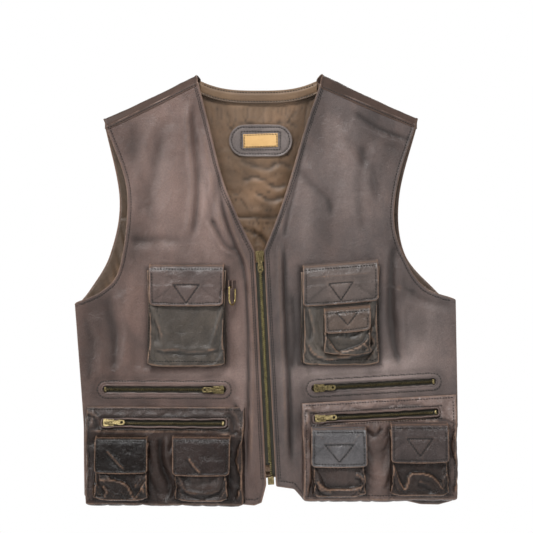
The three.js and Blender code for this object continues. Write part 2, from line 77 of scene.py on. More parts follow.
SIDES = {
    "left": {
        "sign": -1,
        "centre": [(-6, 7), (1, 34), (-16.5, 389), (-42, 441), (-66, 500), (-87, 582), (-104, 648)],
        "side": [(-268, 4), (-278, 16), (-279, 125), (-293, 310), (-253, 327), (-226, 358)]
        + [(-213, 435), (-216, 498), (-246, 580)],
        "hem": [(-214, 4), (-41, 4), (-17, 2), (-5, 7)],
        "seam": [(-111, 649), (-245, 579)],
        "ridge": [(-105.5, 658.5), (-249, 590)],
    },
    "right": {
        "sign": 1,
        "centre": [(16, 31), (15, 34), (-3.5, 389), (15, 435), (32, 484), (58, 570), (83, 644)],
        "side": [(286, 8), (290, 47), (294, 131), (291, 316), (245, 333), (216, 372)]
        + [(197, 430), (204, 500), (231, 583)],
        "hem": [(16, 31), (43, 27), (57, 11), (206, 10), (236, 3), (264, 2), (286, 8)],
        "seam": [(87, 643), (230, 582)],
        "ridge": [(85.5, 660), (233, 591)],
    },
}
BACK_EDGES = {
    "left": [(-277, 8), (-279, 125), (-292, 306), (-268, 335), (-239, 385), (-225, 465)]
    + [(-247, 583)],
    "right": [(288, 14), (293, 131), (291, 306), (257, 335), (213, 385), (205, 465), (232, 583)],
}
BACK_NECK = {"left": -100, "right": 78, "middle": 636, "point": 651}
SLITS = {
    "left": {"middle": (-155, 178), "length": 192, "tilt": 0.0, "slider": 83, "way": -1},
    "right": {"middle": (165, 185), "length": 194, "tilt": 0.054, "slider": -84, "way": 1},
}
CARGOS = {
    "left": {"place": (-153, 152), "width": 242, "height": 147, "tilt": 0.0, "zip": (-96, 93)},
    "right": {"place": (173, 164), "width": 236, "height": 152, "tilt": 0.054, "zip": (-101, 90)},
}

# ------------------------------------------------------------------------ plain maths


def mix(a, b, t):
    return a + (b - a) * t


def smooth(low, high, value):
    t = np.clip((value - low) / (high - low), 0, 1)
    return t * t * (3 - 2 * t)


def hump(value, width):
    return np.exp(-((value / width) ** 2))


def polyline(points, step=3.0):
    """Points about `step` apart along straight runs between the given ones."""
    points = np.asarray(points, float)
    out = [points[:1]]
    for a, b in zip(points[:-1], points[1:]):
        count = max(1, int(round(np.linalg.norm(b - a) / step)))
        out.append(a + (b - a) * (np.arange(1, count + 1) / count)[:, None])
    return np.vstack(out)


def spline(points, count=200):
    """A smooth curve through the points, evenly spaced."""
    points = np.asarray(points, float)
    ends = [2 * points[0] - points[1], 2 * points[-1] - points[-2]]
    p = np.vstack([ends[:1], points, ends[1:]])
    out = []
    for i in range(len(points) - 1):
        a, b, c, d = p[i : i + 4]
        t = np.linspace(0, 1, 24, endpoint=False)[:, None]
        cubic = (2 * a - 5 * b + 4 * c - d) * t**2 + (3 * b - a - 3 * c + d) * t**3
        out.append(0.5 * (2 * b + (c - a) * t + cubic))
    out.append(points[-1:])
    return respaced(np.vstack(out), count)


def respaced(points, count):
    gaps = np.linalg.norm(np.diff(points, axis=0), axis=1)
    along = np.concatenate([[0], np.cumsum(gaps)])
    places = np.linspace(0, along[-1], count)
    return np.stack([np.interp(places, along, points[:, i]) for i in range(points.shape[1])], 1)


def distance(x, z, path):
    """How far each point is from a path of [across, height] points, and how far along it is."""
    path = np.asarray(path, float)
    best = np.full(np.shape(x), 1e9)
    where = np.zeros(np.shape(x))
    side = np.zeros(np.shape(x))
    count = len(path) - 1
    for i in range(count):
        (ax, az), (bx, bz) = path[i], path[i + 1]
        dx, dz = bx - ax, bz - az
        length = max(dx * dx + dz * dz, 1e-9)
        t = np.clip(((x - ax) * dx + (z - az) * dz) / length, 0, 1)
        away = np.hypot(x - ax - t * dx, z - az - t * dz)
        nearer = away < best
        best = np.where(nearer, away, best)
        where = np.where(nearer, (i + t) / count, where)
        turn = np.sign(dx * (z - az) - dz * (x - ax))
        side = np.where(nearer, turn, side)
    return best, where, side


def wander(x, z, scale, seed, octaves=3, stretch=1.0):
    """Smooth noise from about -1 to 1, `scale` mm from one hill to the next."""
    rng = np.random.default_rng(seed)
    x, z = np.broadcast_arrays(x, z)
    total = np.zeros(x.shape)
    size = 1.0
    for _ in range(octaves):
        grid = rng.uniform(-1, 1, (64, 64))
        gx = np.asarray(x) / scale + 31.7
        gz = np.asarray(z) / (scale * stretch) + 17.3
        ix, iz = np.floor(gx).astype(int), np.floor(gz).astype(int)
        fx, fz = gx - ix, gz - iz
        fx, fz = fx * fx * (3 - 2 * fx), fz * fz * (3 - 2 * fz)
        low = mix(grid[ix % 64, iz % 64], grid[(ix + 1) % 64, iz % 64], fx)
        high = mix(grid[ix % 64, (iz + 1) % 64], grid[(ix + 1) % 64, (iz + 1) % 64], fx)
        total += size * mix(low, high, fz)
        scale, size = scale / 2, size / 2
    return total


class Relief:
    """The height of a sheet over its plane, with how worn it is there, how dark (painted shade in folds,
    grooves and hollows, and darker patches) and how pale (painted sheen).
    """

    def __init__(self, x, z):
        self.x, self.z = np.broadcast_arrays(np.asarray(x, float), np.asarray(z, float))
        self.height = np.zeros(self.x.shape)
        self.worn = np.zeros(self.x.shape)
        self.dark = np.zeros(self.x.shape)
        self.pale = np.zeros(self.x.shape)

    def cloud(self, middle, size, pale=0.0, dark=0.0):
        """A soft-edged area that is paler than the rest, as a painted sheen, or darker than the rest."""
        x, z = middle
        across, up = size
        away = ((self.x - x) / across) ** 2 + ((self.z - z) / up) ** 2
        ragged = 1 + 0.35 * wander(self.x, self.z, 30, 91, 2, 1.6)
        share = np.exp(-away * np.maximum(ragged, 0.3))
        self.pale += pale * share
        self.dark += dark * share

    def near(self, path):
        """Distance from a curve, signed to its left, and a fade towards its ends."""
        away, where, side = distance(self.x, self.z, spline(path, 40))
        fade = smooth(0, 0.15, where) * smooth(0, 0.15, 1 - where)
        return away * side, fade

    def crease(self, path, width, depth, dark=0.5, worn=0.2):
        """A fold: the left of the path stands out and its right falls in and is painted darker as shade; the
        worn colour on the standing side is both rubbed wear and a painted highlight.
        """
        signed, fade = self.near(path)
        ratio = signed / width * np.sign(depth)
        self.height += abs(depth) * fade * ratio * np.exp(-ratio * ratio) * 2.3
        self.dark += dark * fade * hump(ratio + 0.75, 0.6)
        self.worn += worn * fade * hump(ratio - 0.75, 0.45)

    def ridge(self, path, width, depth, dark=0.15, worn=0.25):
        signed, fade = self.near(path)
        ratio = signed / width
        self.height += depth * fade * hump(ratio, 1)
        self.worn += worn * fade * hump(ratio, 0.35)
        # Painted shade along both feet of the ridge.
        self.dark += dark * fade * (hump(ratio - 1.5, 0.5) + hump(ratio + 1.5, 0.5))

    def lip(self, path, depth, reach=16.0, worn=0.9):
        """An edge: the leather right of the path stands out over a hollow on its left, which is painted
        darker as the shadow under the edge.
        """
        signed, fade = self.near(path)
        over = smooth(1.6, -0.8, signed) * smooth(reach, 0, -signed)
        under = smooth(-0.8, 2.0, signed) * smooth(reach * 0.7, 0, signed)
        self.height += depth * fade * (over - 0.8 * under)
        self.worn += worn * fade * hump(signed + 0.9, 1.3)
        self.dark += fade * smooth(0, 2.0, signed) * smooth(reach * 0.7, 1, signed)

    def edge(self, away, inset, worn=0.75, width=1.6):
        """A turned edge: it swells up to a row of stitches, which draws it in; the drawn-in groove is painted
        darker as shade.
        """
        self.height += 0.9 * hump(away - inset * 0.45, inset * 0.6)
        self.height -= 0.9 * hump(away - inset, 1.7)
        self.dark += 0.12 * hump(away - inset, 1.7)
        self.worn += worn * hump(np.maximum(away, 0), width)


# -------------------------------------------------------------------- planes and places


def at(x=0, y=0, z=0):
    return Matrix.Translation((x, y, z))


def turn(axis, angle):
    return Matrix.Rotation(angle, 4, axis)


def front_plane(name):
    return at(0, -FRONT_FORWARD, 0) @ turn("Z", SIDES[name]["sign"] * FRONT_TURN)


def placed(points, plane):
    m = np.array(plane)
    return np.asarray(points) @ m[:3, :3].T + m[:3, 3]


def to_row(points):
    """Garment millimetres to metres in the part's frame."""
    return (np.asarray(points) - (0, 0, HANGER_HEIGHT)) * 0.001


# ------------------------------------------------------------------------------ meshes


def grid_faces(rows, columns):
    """Faces of a grid of points, rows upwards and columns to the right, facing -Y."""
    index = np.arange(rows * columns).reshape(rows, columns)
    quads = [index[:-1, :-1], index[:-1, 1:], index[1:, 1:], index[1:, :-1]]
    return np.stack([q.ravel() for q in quads], 1)


def bend_of(points, faces):
    """How much each point stands out of its neighbours, for wear on ridges and painted shade in folds."""
    count = len(points)
    total = np.zeros((count, 3))
    number = np.zeros(count)
    normal = np.zeros((count, 3))
    for i in range(4):
        a, b = faces[:, i], faces[:, (i + 1) % 4]
        np.add.at(total, a, points[b])
        np.add.at(total, b, points[a])
        np.add.at(number, a, 1)
        np.add.at(number, b, 1)
    face_normal = np.cross(
        points[faces[:, 2]] - points[faces[:, 0]], points[faces[:, 3]] - points[faces[:, 1]]
    )
    for i in range(4):
        np.add.at(normal, faces[:, i], face_normal)
    normal /= np.maximum(np.linalg.norm(normal, axis=1, keepdims=True), 1e-9)
    mean = total / np.maximum(number, 1)[:, None]
    return ((points - mean) * normal).sum(1)


def border_of(faces, count):
    """Which points lie on an open edge."""
    edges = np.concatenate([np.sort(faces[:, [i, (i + 1) % 4]], 1) for i in range(4)])
    keys, times = np.unique(edges, axis=0, return_counts=True)
    edge = np.zeros(count, bool)
    edge[keys[times == 1].ravel()] = True
    return edge


def mesh_object(name, points, faces, look, attributes=None):
    mesh = bpy.data.meshes.new(name)
    mesh.from_pydata(np.asarray(points).tolist(), [], [list(map(int, f)) for f in faces])
    for key, values in (attributes or {}).items():
        made = mesh.attributes.new(key, "FLOAT", "POINT")
        made.data.foreach_set("value", np.asarray(values, np.float32))
    mesh.polygons.foreach_set("use_smooth", [True] * len(mesh.polygons))
    mesh.materials.append(look)
    mesh.update()
    obj = bpy.data.objects.new(name, mesh)
    bpy.context.scene.collection.objects.link(obj)
    return obj


class Skin:
    """A sheet of leather or cloth: points in its plane's millimetres, and its faces."""

    def __init__(self, points, faces, plane, thick, relief=None, out=-1):
        self.out = out  # the side it is sewn and seen from: -1 towards -Y
        self.points = np.asarray(points, float)
        self.relief = relief
        self.faces = np.asarray(faces)
        self.plane = plane
        self.thick = thick
        self._tree = None

    def tree(self):
        if self._tree is None:
            self._tree = BVHTree.FromPolygons(self.points.tolist(), self.faces.tolist())
        return self._tree

    def surface(self, x, z):
        """The outer surface's point and normal where the plane's [x, z] meets the sheet."""
        start = Vector((x, 200 * self.out, z))
        hit, normal, _, _ = self.tree().ray_cast(start, Vector((0, -self.out, 0)))
        if hit is None:
            hit, normal, _, _ = self.tree().find_nearest(Vector((x, 12 * self.out, z)))
        if normal.y * self.out < 0:
            normal = -normal
        return hit + normal * (self.thick / 2), normal

    def build(self, name, look, levels=1, tone=0.0, edge_wear=0.6, crumple=1.0):
        """The sheet as a closed object with rounded edges, in the part's frame."""
        bend = bend_of(self.points, self.faces) * crumple
        worn = np.clip((bend - 0.55) * 1.1, 0, 0.5) + edge_wear * border_of(self.faces, len(bend))
        # Painted shade where the sheet folds in.
        dark = np.clip((-bend - 0.12) * 1.4, 0, 0.9)
        if self.relief is not None:
            # The relief's dark is painted shade and darker patches; its pale is painted sheen.
            worn = worn + self.relief.worn.ravel()
            dark = dark + self.relief.dark.ravel()
            tone = tone + self.relief.pale.ravel()
        attributes = {
            "wear": np.clip(worn, 0, 1),
            "hollow": np.clip(dark, 0, 1),
            "tone": np.zeros(len(bend)) + tone,
        }
        world = to_row(placed(self.points, self.plane))
        obj = mesh_object(name, world, self.faces, look, attributes)
        solid = obj.modifiers.new("thickness", "SOLIDIFY")
        solid.thickness = self.thick * 0.001
        solid.offset = 0
        if levels:
            round_it = obj.modifiers.new("round", "SUBSURF")
            round_it.levels = round_it.render_levels = levels
        return obj


def tube(path, radius, sides=8, closed=False):
    """A round tube along a path of points, with closed ends."""
    path = np.asarray(path, float)
    count = len(path)
    radius = np.broadcast_to(np.asarray(radius, float), (count,))
    after = np.roll(path, -1, 0) if closed else np.vstack([path[1:], path[-1:]])
    before = np.roll(path, 1, 0) if closed else np.vstack([path[:1], path[:-1]])
    way = after - before
    way /= np.maximum(np.linalg.norm(way, axis=1, keepdims=True), 1e-9)
    normal = np.cross(way, (0.0, 1.0, 0.0))
    weak = np.linalg.norm(normal, axis=1) < 0.2
    normal[weak] = np.cross(way[weak], (0.0, 0.0, 1.0))
    normal /= np.maximum(np.linalg.norm(normal, axis=1, keepdims=True), 1e-9)
    other = np.cross(way, normal)
    angles = np.arange(sides) * 2 * math.pi / sides
    ring = np.cos(angles)[None, :, None] * normal[:, None] + np.sin(angles)[None, :, None] * other[:, None]
    points = (path[:, None] + ring * radius[:, None, None]).reshape(-1, 3)
    faces = []
    for i in range(count if closed else count - 1):
        j = (i + 1) % count
        for k in range(sides):
            m = (k + 1) % sides
            faces.append((i * sides + k, j * sides + k, j * sides + m, i * sides + m))
    if not closed:
        faces.append(tuple(range(sides)))
        faces.append(tuple((count - 1) * sides + k for k in reversed(range(sides))))
    return points, faces


class Heap:
    """Many small meshes joined into one object."""

    def __init__(self):
        self.points, self.faces, self.count = [], [], 0

    def add(self, points, faces):
        self.points.append(np.asarray(points, float))
        self.faces += [tuple(int(i) + self.count for i in f) for f in faces]
        self.count += len(points)

    def build(self, name, look, plane):
        world = to_row(placed(np.vstack(self.points), plane))
        return mesh_object(name, world, self.faces, look)


STITCH_PITCH = 4.2
STITCH_LENGTH = 2.7
STITCH_RADIUS = 0.62


def stitches(heap, skin, path, lift=0.42):
    """A row of stitches over a skin, along an [across, height] path in its plane."""
    path = np.asarray(path, float)
    total = np.linalg.norm(np.diff(path, axis=0), axis=1).sum()
    count = max(2, int(total / STITCH_PITCH))
    dense = respaced(path, count * 2 + 1)
    share = (STITCH_LENGTH / STITCH_PITCH) / 2
    for i in range(count):
        middle, end = dense[2 * i + 1], dense[2 * i + 2]
        way = (end - dense[2 * i]) * share
        a, na = skin.surface(*(middle - way))
        b, nb = skin.surface(*(middle + way))
        centre, _ = skin.surface(*middle)
        if (b - a).length > STITCH_LENGTH * 3:
            continue
        line = [a - na * 0.35, a.lerp(centre, 0.4) + na * lift, centre + na * (lift + 0.1)]
        line += [b.lerp(centre, 0.4) + nb * lift, b - nb * 0.35]
        radius = np.array([0.5, 1.0, 1.0, 1.0, 0.5]) * STITCH_RADIUS
        heap.add(*tube([tuple(p) for p in line], radius, sides=5))


# ------------------------------------------------------------------------------- cloth


def settle(points, faces, pins, grow, frames=14, cap=8.0, pressure=0.0, stiff=0.5):
    """Lets a sheet that is a little too big for its seams buckle between its pinned points."""
    mesh = bpy.data.meshes.new("settle")
    mesh.from_pydata((np.asarray(points) * 0.001).tolist(), [], np.asarray(faces).tolist())
    obj = bpy.data.objects.new("settle", mesh)
    bpy.context.scene.collection.objects.link(obj)
    group = obj.vertex_groups.new(name="pins")
    for i in np.nonzero(pins > 0)[0]:
        group.add([int(i)], float(pins[i]), "REPLACE")
    cloth = obj.modifiers.new("cloth", "CLOTH")
    s = cloth.settings
    s.vertex_group_mass = "pins"
    s.shrink_min = -grow
    s.quality = 6
    s.mass = 0.3
    s.tension_stiffness = s.compression_stiffness = 18
    s.shear_stiffness = 8
    s.bending_stiffness = stiff
    s.air_damping = 6
    s.effector_weights.gravity = 1.0
    if pressure:
        s.use_pressure = True
        s.uniform_pressure_force = pressure
    cloth.collision_settings.use_collision = False
    cloth.collision_settings.use_self_collision = False
    cloth.point_cache.frame_start = 1
    cloth.point_cache.frame_end = frames
    scene = bpy.context.scene
    for number in range(1, frames + 1):
        scene.frame_set(number)
    shown = obj.evaluated_get(bpy.context.evaluated_depsgraph_get())
    found = np.empty(len(points) * 3, np.float32)
    shown.data.vertices.foreach_get("co", found)
    found = found.reshape(-1, 3).astype(float) * 1000
    bpy.data.objects.remove(obj)
    bpy.data.meshes.remove(mesh)
    scene.frame_set(1)
    move = found - points
    length = np.linalg.norm(move, axis=1, keepdims=True)
    move *= np.minimum(1, cap / np.maximum(length, 1e-6))
    return points + move * (1 - np.clip(pins, 0, 1))[:, None]


def relaxed(points, faces, keep, times):
    """Rounds a mesh off: each free point moves half way to its neighbours' middle."""
    points = points.copy()
    for _ in range(times):
        total = np.zeros_like(points)
        number = np.zeros(len(points))
        for i in range(4):
            a, b = faces[:, i], faces[:, (i + 1) % 4]
            np.add.at(total, a, points[b])
            np.add.at(total, b, points[a])
            np.add.at(number, a, 1)
            np.add.at(number, b, 1)
        middle = total / number[:, None]
        points = np.where(keep[:, None], points, mix(points, middle, 0.5))
    return points


# --------------------------------------------------------------------------- materials


class Nodes:
    """A material's node tree, with short calls for what the looks below use."""

    def __init__(self, name):
        self.material = bpy.data.materials.new(name)
        self.material.use_nodes = True
        self.tree = self.material.node_tree
        self.shader = self.tree.nodes["Principled BSDF"]
        self.place = self.node("ShaderNodeTexCoord").outputs["Object"]

    def node(self, kind, **values):
        made = self.tree.nodes.new(kind)
        for key, value in values.items():
            setattr(made, key, value)
        return made

    def link(self, a, b):
        self.tree.links.new(a, b)

    def noise(self, scale, detail=3.0, rough=0.55, vector=None, distort=0.0):
        made = self.node("ShaderNodeTexNoise")
        made.inputs["Scale"].default_value = scale
        made.inputs["Detail"].default_value = detail
        made.inputs["Roughness"].default_value = rough
        made.inputs["Distortion"].default_value = distort
        self.link(vector or self.place, made.inputs["Vector"])
        return made.outputs["Fac"]

    def cells(self, scale, feature="F1", vector=None):
        made = self.node("ShaderNodeTexVoronoi", feature=feature)
        made.inputs["Scale"].default_value = scale
        self.link(vector or self.place, made.inputs["Vector"])
        return made.outputs["Distance"]

    def stretched(self, sizes):
        made = self.node("ShaderNodeMapping")
        made.inputs["Scale"].default_value = sizes
        self.link(self.place, made.inputs["Vector"])
        return made.outputs["Vector"]

    def spread(self, value, low, high, to_low=0.0, to_high=1.0):
        made = self.node("ShaderNodeMapRange")
        for key, number in zip(("From Min", "From Max", "To Min", "To Max"), (low, high, to_low, to_high)):
            made.inputs[key].default_value = number
        self.link(value, made.inputs["Value"])
        return made.outputs["Result"]

    def math(self, operation, a, b):
        made = self.node("ShaderNodeMath", operation=operation)
        for socket, value in zip(made.inputs, (a, b)):
            if isinstance(value, (int, float)):
                socket.default_value = value
            else:
                self.link(value, socket)
        return made.outputs[0]

    def blend(self, share, a, b, mode="MIX"):
        made = self.node("ShaderNodeMix", data_type="RGBA", blend_type=mode)
        for key, value in (("Factor_Float", share), ("A_Color", a), ("B_Color", b)):
            socket = next(s for s in made.inputs if s.identifier == key)
            if isinstance(value, (int, float)):
                socket.default_value = value
            elif isinstance(value, tuple):
                socket.default_value = (*value, 1.0)
            else:
                self.link(value, socket)
        return next(s for s in made.outputs if s.identifier == "Result_Color")

    def attribute(self, name):
        made = self.node("ShaderNodeAttribute", attribute_name=name)
        return made.outputs["Fac"]

    def bump(self, height, strength, depth, before=None):
        made = self.node("ShaderNodeBump")
        made.inputs["Strength"].default_value = strength
        made.inputs["Distance"].default_value = depth
        self.link(height, made.inputs["Height"])
        if before:
            self.link(before, made.inputs["Normal"])
        return made.outputs["Normal"]

    def finish(self, color, rough, normal=None, **values):
        self.link(color, self.shader.inputs["Base Color"])
        if isinstance(rough, (int, float)):
            self.shader.inputs["Roughness"].default_value = rough
        else:
            self.link(rough, self.shader.inputs["Roughness"])
        if normal:
            self.link(normal, self.shader.inputs["Normal"])
        for key, value in values.items():
            self.shader.inputs[key.replace("_", " ")].default_value = value
        return self.material


def leather(name, base, dark, worn, rough=(0.3, 0.56), crinkle=0.5, gloss=0.32):
    """Aniline leather: cloudy colour, pale worn edges and ridges, painted shade in folds and hollows, a paler
    tone and painted sheen where the tone attribute says, fine grain.
    """
    n = Nodes(name)
    cloud = n.spread(n.noise(13, 5, 0.62, distort=0.5), 0.36, 0.66)
    # Darker vertical streaks: mottling that also stands in for the shade of hanging folds.
    streak = n.spread(n.noise(34, 5, 0.65, n.stretched((1.0, 1.0, 0.35)), 0.8), 0.4, 0.68)
    color = n.blend(n.math("MULTIPLY", cloud, 0.75), base, dark)
    color = n.blend(n.math("MULTIPLY", streak, 0.5), color, dark)
    # A paler colour for the tone attribute: paler leather, and the painted sheen of the pale clouds.
    pale_tone_and_sheen = tuple(c * 1.9 + 0.06 for c in base)
    color = n.blend(n.attribute("tone"), color, pale_tone_and_sheen)
    rub = n.spread(n.noise(160, 4, 0.7), 0.3, 0.62, 0.45, 1.0)
    wear = n.math("MULTIPLY", n.attribute("wear"), rub)
    color = n.blend(n.spread(wear, 0.08, 0.85, 0.0, 0.92), color, worn)
    # Painted shade from the hollow attribute, in folds, grooves and hollows; the same deep colour darkens the
    # fine flecks.
    deep = tuple(c * 0.16 for c in base)
    color = n.blend(n.math("MULTIPLY", n.attribute("hollow"), 0.88), color, deep)
    fleck = n.spread(n.noise(560, 3, 0.65), 0.32, 0.75, 0.0, 0.35)
    color = n.blend(fleck, color, deep)
    crinkled = n.noise(90, 6, 0.62, distort=1.4)
    wrinkle = n.bump(crinkled, crinkle, 0.003)
    fine = n.bump(n.noise(300, 4, 0.6, distort=0.8), 0.4, 0.0011, wrinkle)
    grain = n.bump(n.cells(620), 0.3, 0.0006, fine)
    shine = n.spread(n.noise(34, 5, 0.65, distort=0.8), 0.3, 0.7, rough[1], rough[0])
    polish = {"Specular_IOR_Level": gloss, "Coat_Weight": gloss * 0.15, "Coat_Roughness": 0.2}
    return n.finish(color, shine, grain, **polish)


def cloth(name, base, dark, rough=0.5, sheen=0.3, weave=1500.0):
    """A fine woven lining."""
    n = Nodes(name)
    cloud = n.spread(n.noise(16, 4, 0.6), 0.35, 0.65)
    color = n.blend(cloud, base, dark)
    # Painted shade from the hollow attribute: in folds, below seams and along the lining's edges.
    hollow = n.math("MULTIPLY", n.attribute("hollow"), 0.85)
    color = n.blend(hollow, color, tuple(c * 0.18 for c in dark))
    warp = n.noise(weave, 1, 0.5, n.stretched((1.0, 1.0, 0.08)))
    weft = n.noise(weave, 1, 0.5, n.stretched((0.08, 1.0, 1.0)))
    threads = n.math("ADD", warp, weft)
    color = n.blend(n.spread(threads, 0.7, 1.3, 0.0, 0.25), color, dark)
    ripple = n.bump(n.noise(70, 4, 0.6, distort=1.0), 0.35, 0.0015)
    normal = n.bump(threads, 0.25, 0.0003, ripple)
    return n.finish(color, rough, normal, Sheen_Weight=sheen, Sheen_Roughness=0.4)


def metal(name, base, dark, rough=0.34):
    """Antique metal: bright where it is rubbed, dark where it has tarnished."""
    n = Nodes(name)
    stain = n.spread(n.noise(420, 5, 0.65), 0.36, 0.66)
    color = n.blend(stain, base, dark)
    shine = n.spread(n.noise(700, 3, 0.6), 0.3, 0.7, rough * 0.75, rough * 1.5)
    normal = n.bump(n.noise(900, 3, 0.6), 0.12, 0.0003)
    return n.finish(color, shine, normal, Metallic=1.0)


def tape_look(name):
    n = Nodes(name)
    rib = n.noise(900, 1, 0.5, n.stretched((1.0, 1.0, 0.3)))
    color = n.blend(n.spread(rib, 0.35, 0.65), (0.022, 0.019, 0.011), (0.009, 0.008, 0.005))
    normal = n.bump(rib, 0.5, 0.0004)
    return n.finish(color, 0.85, normal)


def thread_look(name, color_a, color_b):
    n = Nodes(name)
    twist = n.noise(1600, 2, 0.5)
    color = n.blend(n.spread(twist, 0.35, 0.65), color_a, color_b)
    return n.finish(color, 0.7, n.bump(twist, 0.3, 0.0002))


WORN = (0.205, 0.122, 0.080)
GLOSSY, SATIN = (0.2, 0.42), (0.27, 0.5)
LOOKS = {
    "left": leather("leather_left", (0.128, 0.080, 0.066), (0.058, 0.040, 0.035), WORN, crinkle=0.3),
    # The right front's mottling colour is grey-blue: partly darker leather, partly a painted blue-grey sheen.
    "right": leather("leather_right", (0.118, 0.084, 0.074), (0.050, 0.042, 0.041), WORN, crinkle=0.35),
    "back": leather("leather_back", (0.115, 0.072, 0.058), (0.048, 0.034, 0.030), WORN, crinkle=0.35),
    "yoke": leather(
        "leather_yoke", (0.078, 0.048, 0.038), (0.040, 0.027, 0.021),
        WORN, (0.5, 0.68), crinkle=0.12, gloss=0.18,
    ),
    "pocket": leather(
        "leather_pocket", (0.033, 0.020, 0.016), (0.010, 0.0075, 0.0065),
        WORN, GLOSSY, gloss=0.2,
    ),
    "cargo": leather("leather_cargo", (0.050, 0.031, 0.025), (0.015, 0.011, 0.010), WORN, SATIN, gloss=0.2),
    "chest": leather(
        "leather_chest", (0.078, 0.062, 0.049), (0.030, 0.025, 0.021),
        WORN, SATIN, crinkle=0.3,
    ),
    "flap": leather("leather_flap", (0.122, 0.084, 0.073), (0.048, 0.036, 0.033), WORN, SATIN, crinkle=0.3),
    "chest_flap": leather(
        "leather_chest_flap", (0.116, 0.088, 0.077), (0.050, 0.040, 0.036),
        WORN, SATIN, crinkle=0.3,
    ),
    "small_flap": leather(
        "leather_small_flap", (0.115, 0.080, 0.063), (0.052, 0.039, 0.032),
        WORN, SATIN, crinkle=0.3,
    ),
    "flap_a": leather(
        "leather_flap_a", (0.011, 0.0065, 0.005), (0.005, 0.0035, 0.003),
        WORN, GLOSSY, gloss=0.2,
    ),
    "flap_b": leather(
        "leather_flap_b", (0.034, 0.022, 0.019), (0.013, 0.009, 0.008),
        WORN, GLOSSY, gloss=0.2,
    ),
    # Flap c's pale grey-blue colour is a painted sheen over dark brown leather.
    "flap_c": leather("leather_flap_c_painted_sheen", (0.112, 0.104, 0.106), (0.044, 0.042, 0.044), WORN, GLOSSY),
    "flap_d": leather(
        "leather_flap_d", (0.072, 0.054, 0.050), (0.028, 0.022, 0.021),
        WORN, GLOSSY, gloss=0.2,
    ),
    "band": leather("leather_band", (0.128, 0.082, 0.068), (0.052, 0.036, 0.031), WORN, SATIN),
    "patch": leather("leather_patch", (0.20, 0.165, 0.152), (0.115, 0.095, 0.089), WORN),
    "facing": cloth("facing_cloth", (0.165, 0.098, 0.050), (0.105, 0.062, 0.033), 0.6, 0.1),
    "lining": cloth("lining_cloth", (0.245, 0.140, 0.076), (0.120, 0.072, 0.040), 0.55, 0.1),
    "bag": cloth("bag_cloth", (0.09, 0.06, 0.036), (0.06, 0.04, 0.024), 0.8, 0.1),
    "label": cloth("label_cloth", (0.64, 0.40, 0.17), (0.50, 0.30, 0.11), 0.6, 0.2, 900.0),
    "tape": tape_look("zip_tape"),
    "brass": metal("brass", (0.31, 0.245, 0.12), (0.06, 0.048, 0.025), 0.4),
    "teeth": metal("zip_teeth", (0.26, 0.22, 0.10), (0.07, 0.058, 0.03), 0.42),
    "dark_teeth": metal("dark_teeth", (0.085, 0.068, 0.034), (0.022, 0.018, 0.010), 0.42),
    "nickel": metal("nickel", (0.60, 0.46, 0.20), (0.20, 0.15, 0.07), 0.28),
    "thread": thread_look("thread", (0.012, 0.008, 0.006), (0.005, 0.004, 0.003)),
}

LEFT, RIGHT = "front_left", "front_right"


def stand_in(obj, body, slot, *nodes):
    """The piece rides on a body and stands for CAD nodes, which it hides; the slot is not used."""
    if body:
        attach(obj, body)
    if nodes:
        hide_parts(*nodes)
    return obj


# ------------------------------------------------------------------------------ fronts


def by_height(points, values):
    """Where a curve stands at shares of its height, from the hem to its top."""
    points = np.asarray(points, float)
    heights = points[:, 1]
    places = mix(heights[0], heights[-1], values)
    across = np.interp(places, heights, points[:, 0])
    return across, places


def front_edges(name, rows):
    side = SIDES[name]
    v = np.linspace(0, 1, rows)
    centre = side["centre"]
    low, neck = polyline(centre[:3], 4), spline(centre[2:], 120)
    inner = by_height(np.vstack([low[:-1], neck]), v)
    straight, hole = polyline(side["side"][:4], 4), spline(side["side"][3:], 160)
    outer = by_height(np.vstack([straight[:-1], hole]), v)
    return inner, outer


def front_outline(name):
    """A front's edge rows as [across, height] paths: the neck and zip edge, and the armhole."""
    side = SIDES[name]
    centre = side["centre"]
    inner = np.vstack([polyline(centre[:3], 4)[:-1], spline(centre[2:], 120)])
    hole = spline(side["side"][3:], 160)
    straight = polyline(side["side"][:4], 4)
    return inner, straight, hole


def fold_left(r):
    """The folds that the left front hangs in."""
    r.crease([(-117, 622), (-113, 560), (-108, 500), (-111, 440), (-118, 400)], 7, -3.4, 0.5, 0.2)
    r.ridge([(-97, 580), (-84, 500), (-70, 440), (-62, 404)], 7, 3.4)
    r.ridge([(-150, 590), (-146, 520), (-150, 430)], 15, 2.6, 0.1, 0.05)
    r.crease([(-212, 400), (-186, 396), (-160, 399), (-128, 396)], 12, -0.8, 0.45, 0)
    path = [(-73, 520), (-60, 446), (-44, 398), (-30, 360), (-24, 275), (-23, 180), (-27, 30)]
    r.crease(path, 5, 3.2, 0.75, 0.35)
    r.crease([(-88, 440), (-66, 398), (-44, 384)], 6, -2.8, 0.6, 0.1)
    r.crease([(-60, 560), (-84, 470), (-92, 420)], 8, -2.0, 0.35, 0.1)
    r.crease([(-236, 330), (-222, 270), (-226, 200)], 14, 3.2, 0.5, 0.05)
    r.ridge([(-262, 300), (-248, 240), (-256, 180)], 12, 2.4, 0.3, 0.05)
    r.ridge([(-210, 206), (-150, 204), (-70, 208)], 8, 2.4, 0.1, 0.05)
    r.crease([(-58, 166), (-40, 150), (-38, 90), (-44, 20)], 6, 2.6, 0.6, 0.1)
    r.crease([(-160, 600), (-180, 520), (-196, 440)], 14, -2.0, 0.3, 0)
    # Pale clouds are painted sheen; dark clouds are darker patches of leather and painted shade along the
    # folds beside them.
    r.cloud((-160, 480), (52, 120), pale=0.34)
    r.cloud((-82, 450), (26, 120), pale=0.45)
    r.cloud((-34, 150), (16, 170), pale=0.28)
    r.cloud((-86, 202), (62, 16), pale=0.7)
    r.cloud((-214, 556), (30, 36), dark=0.42)
    r.cloud((-262, 240), (34, 90), dark=0.42)
    r.cloud((-150, 208), (80, 10), dark=0.25)


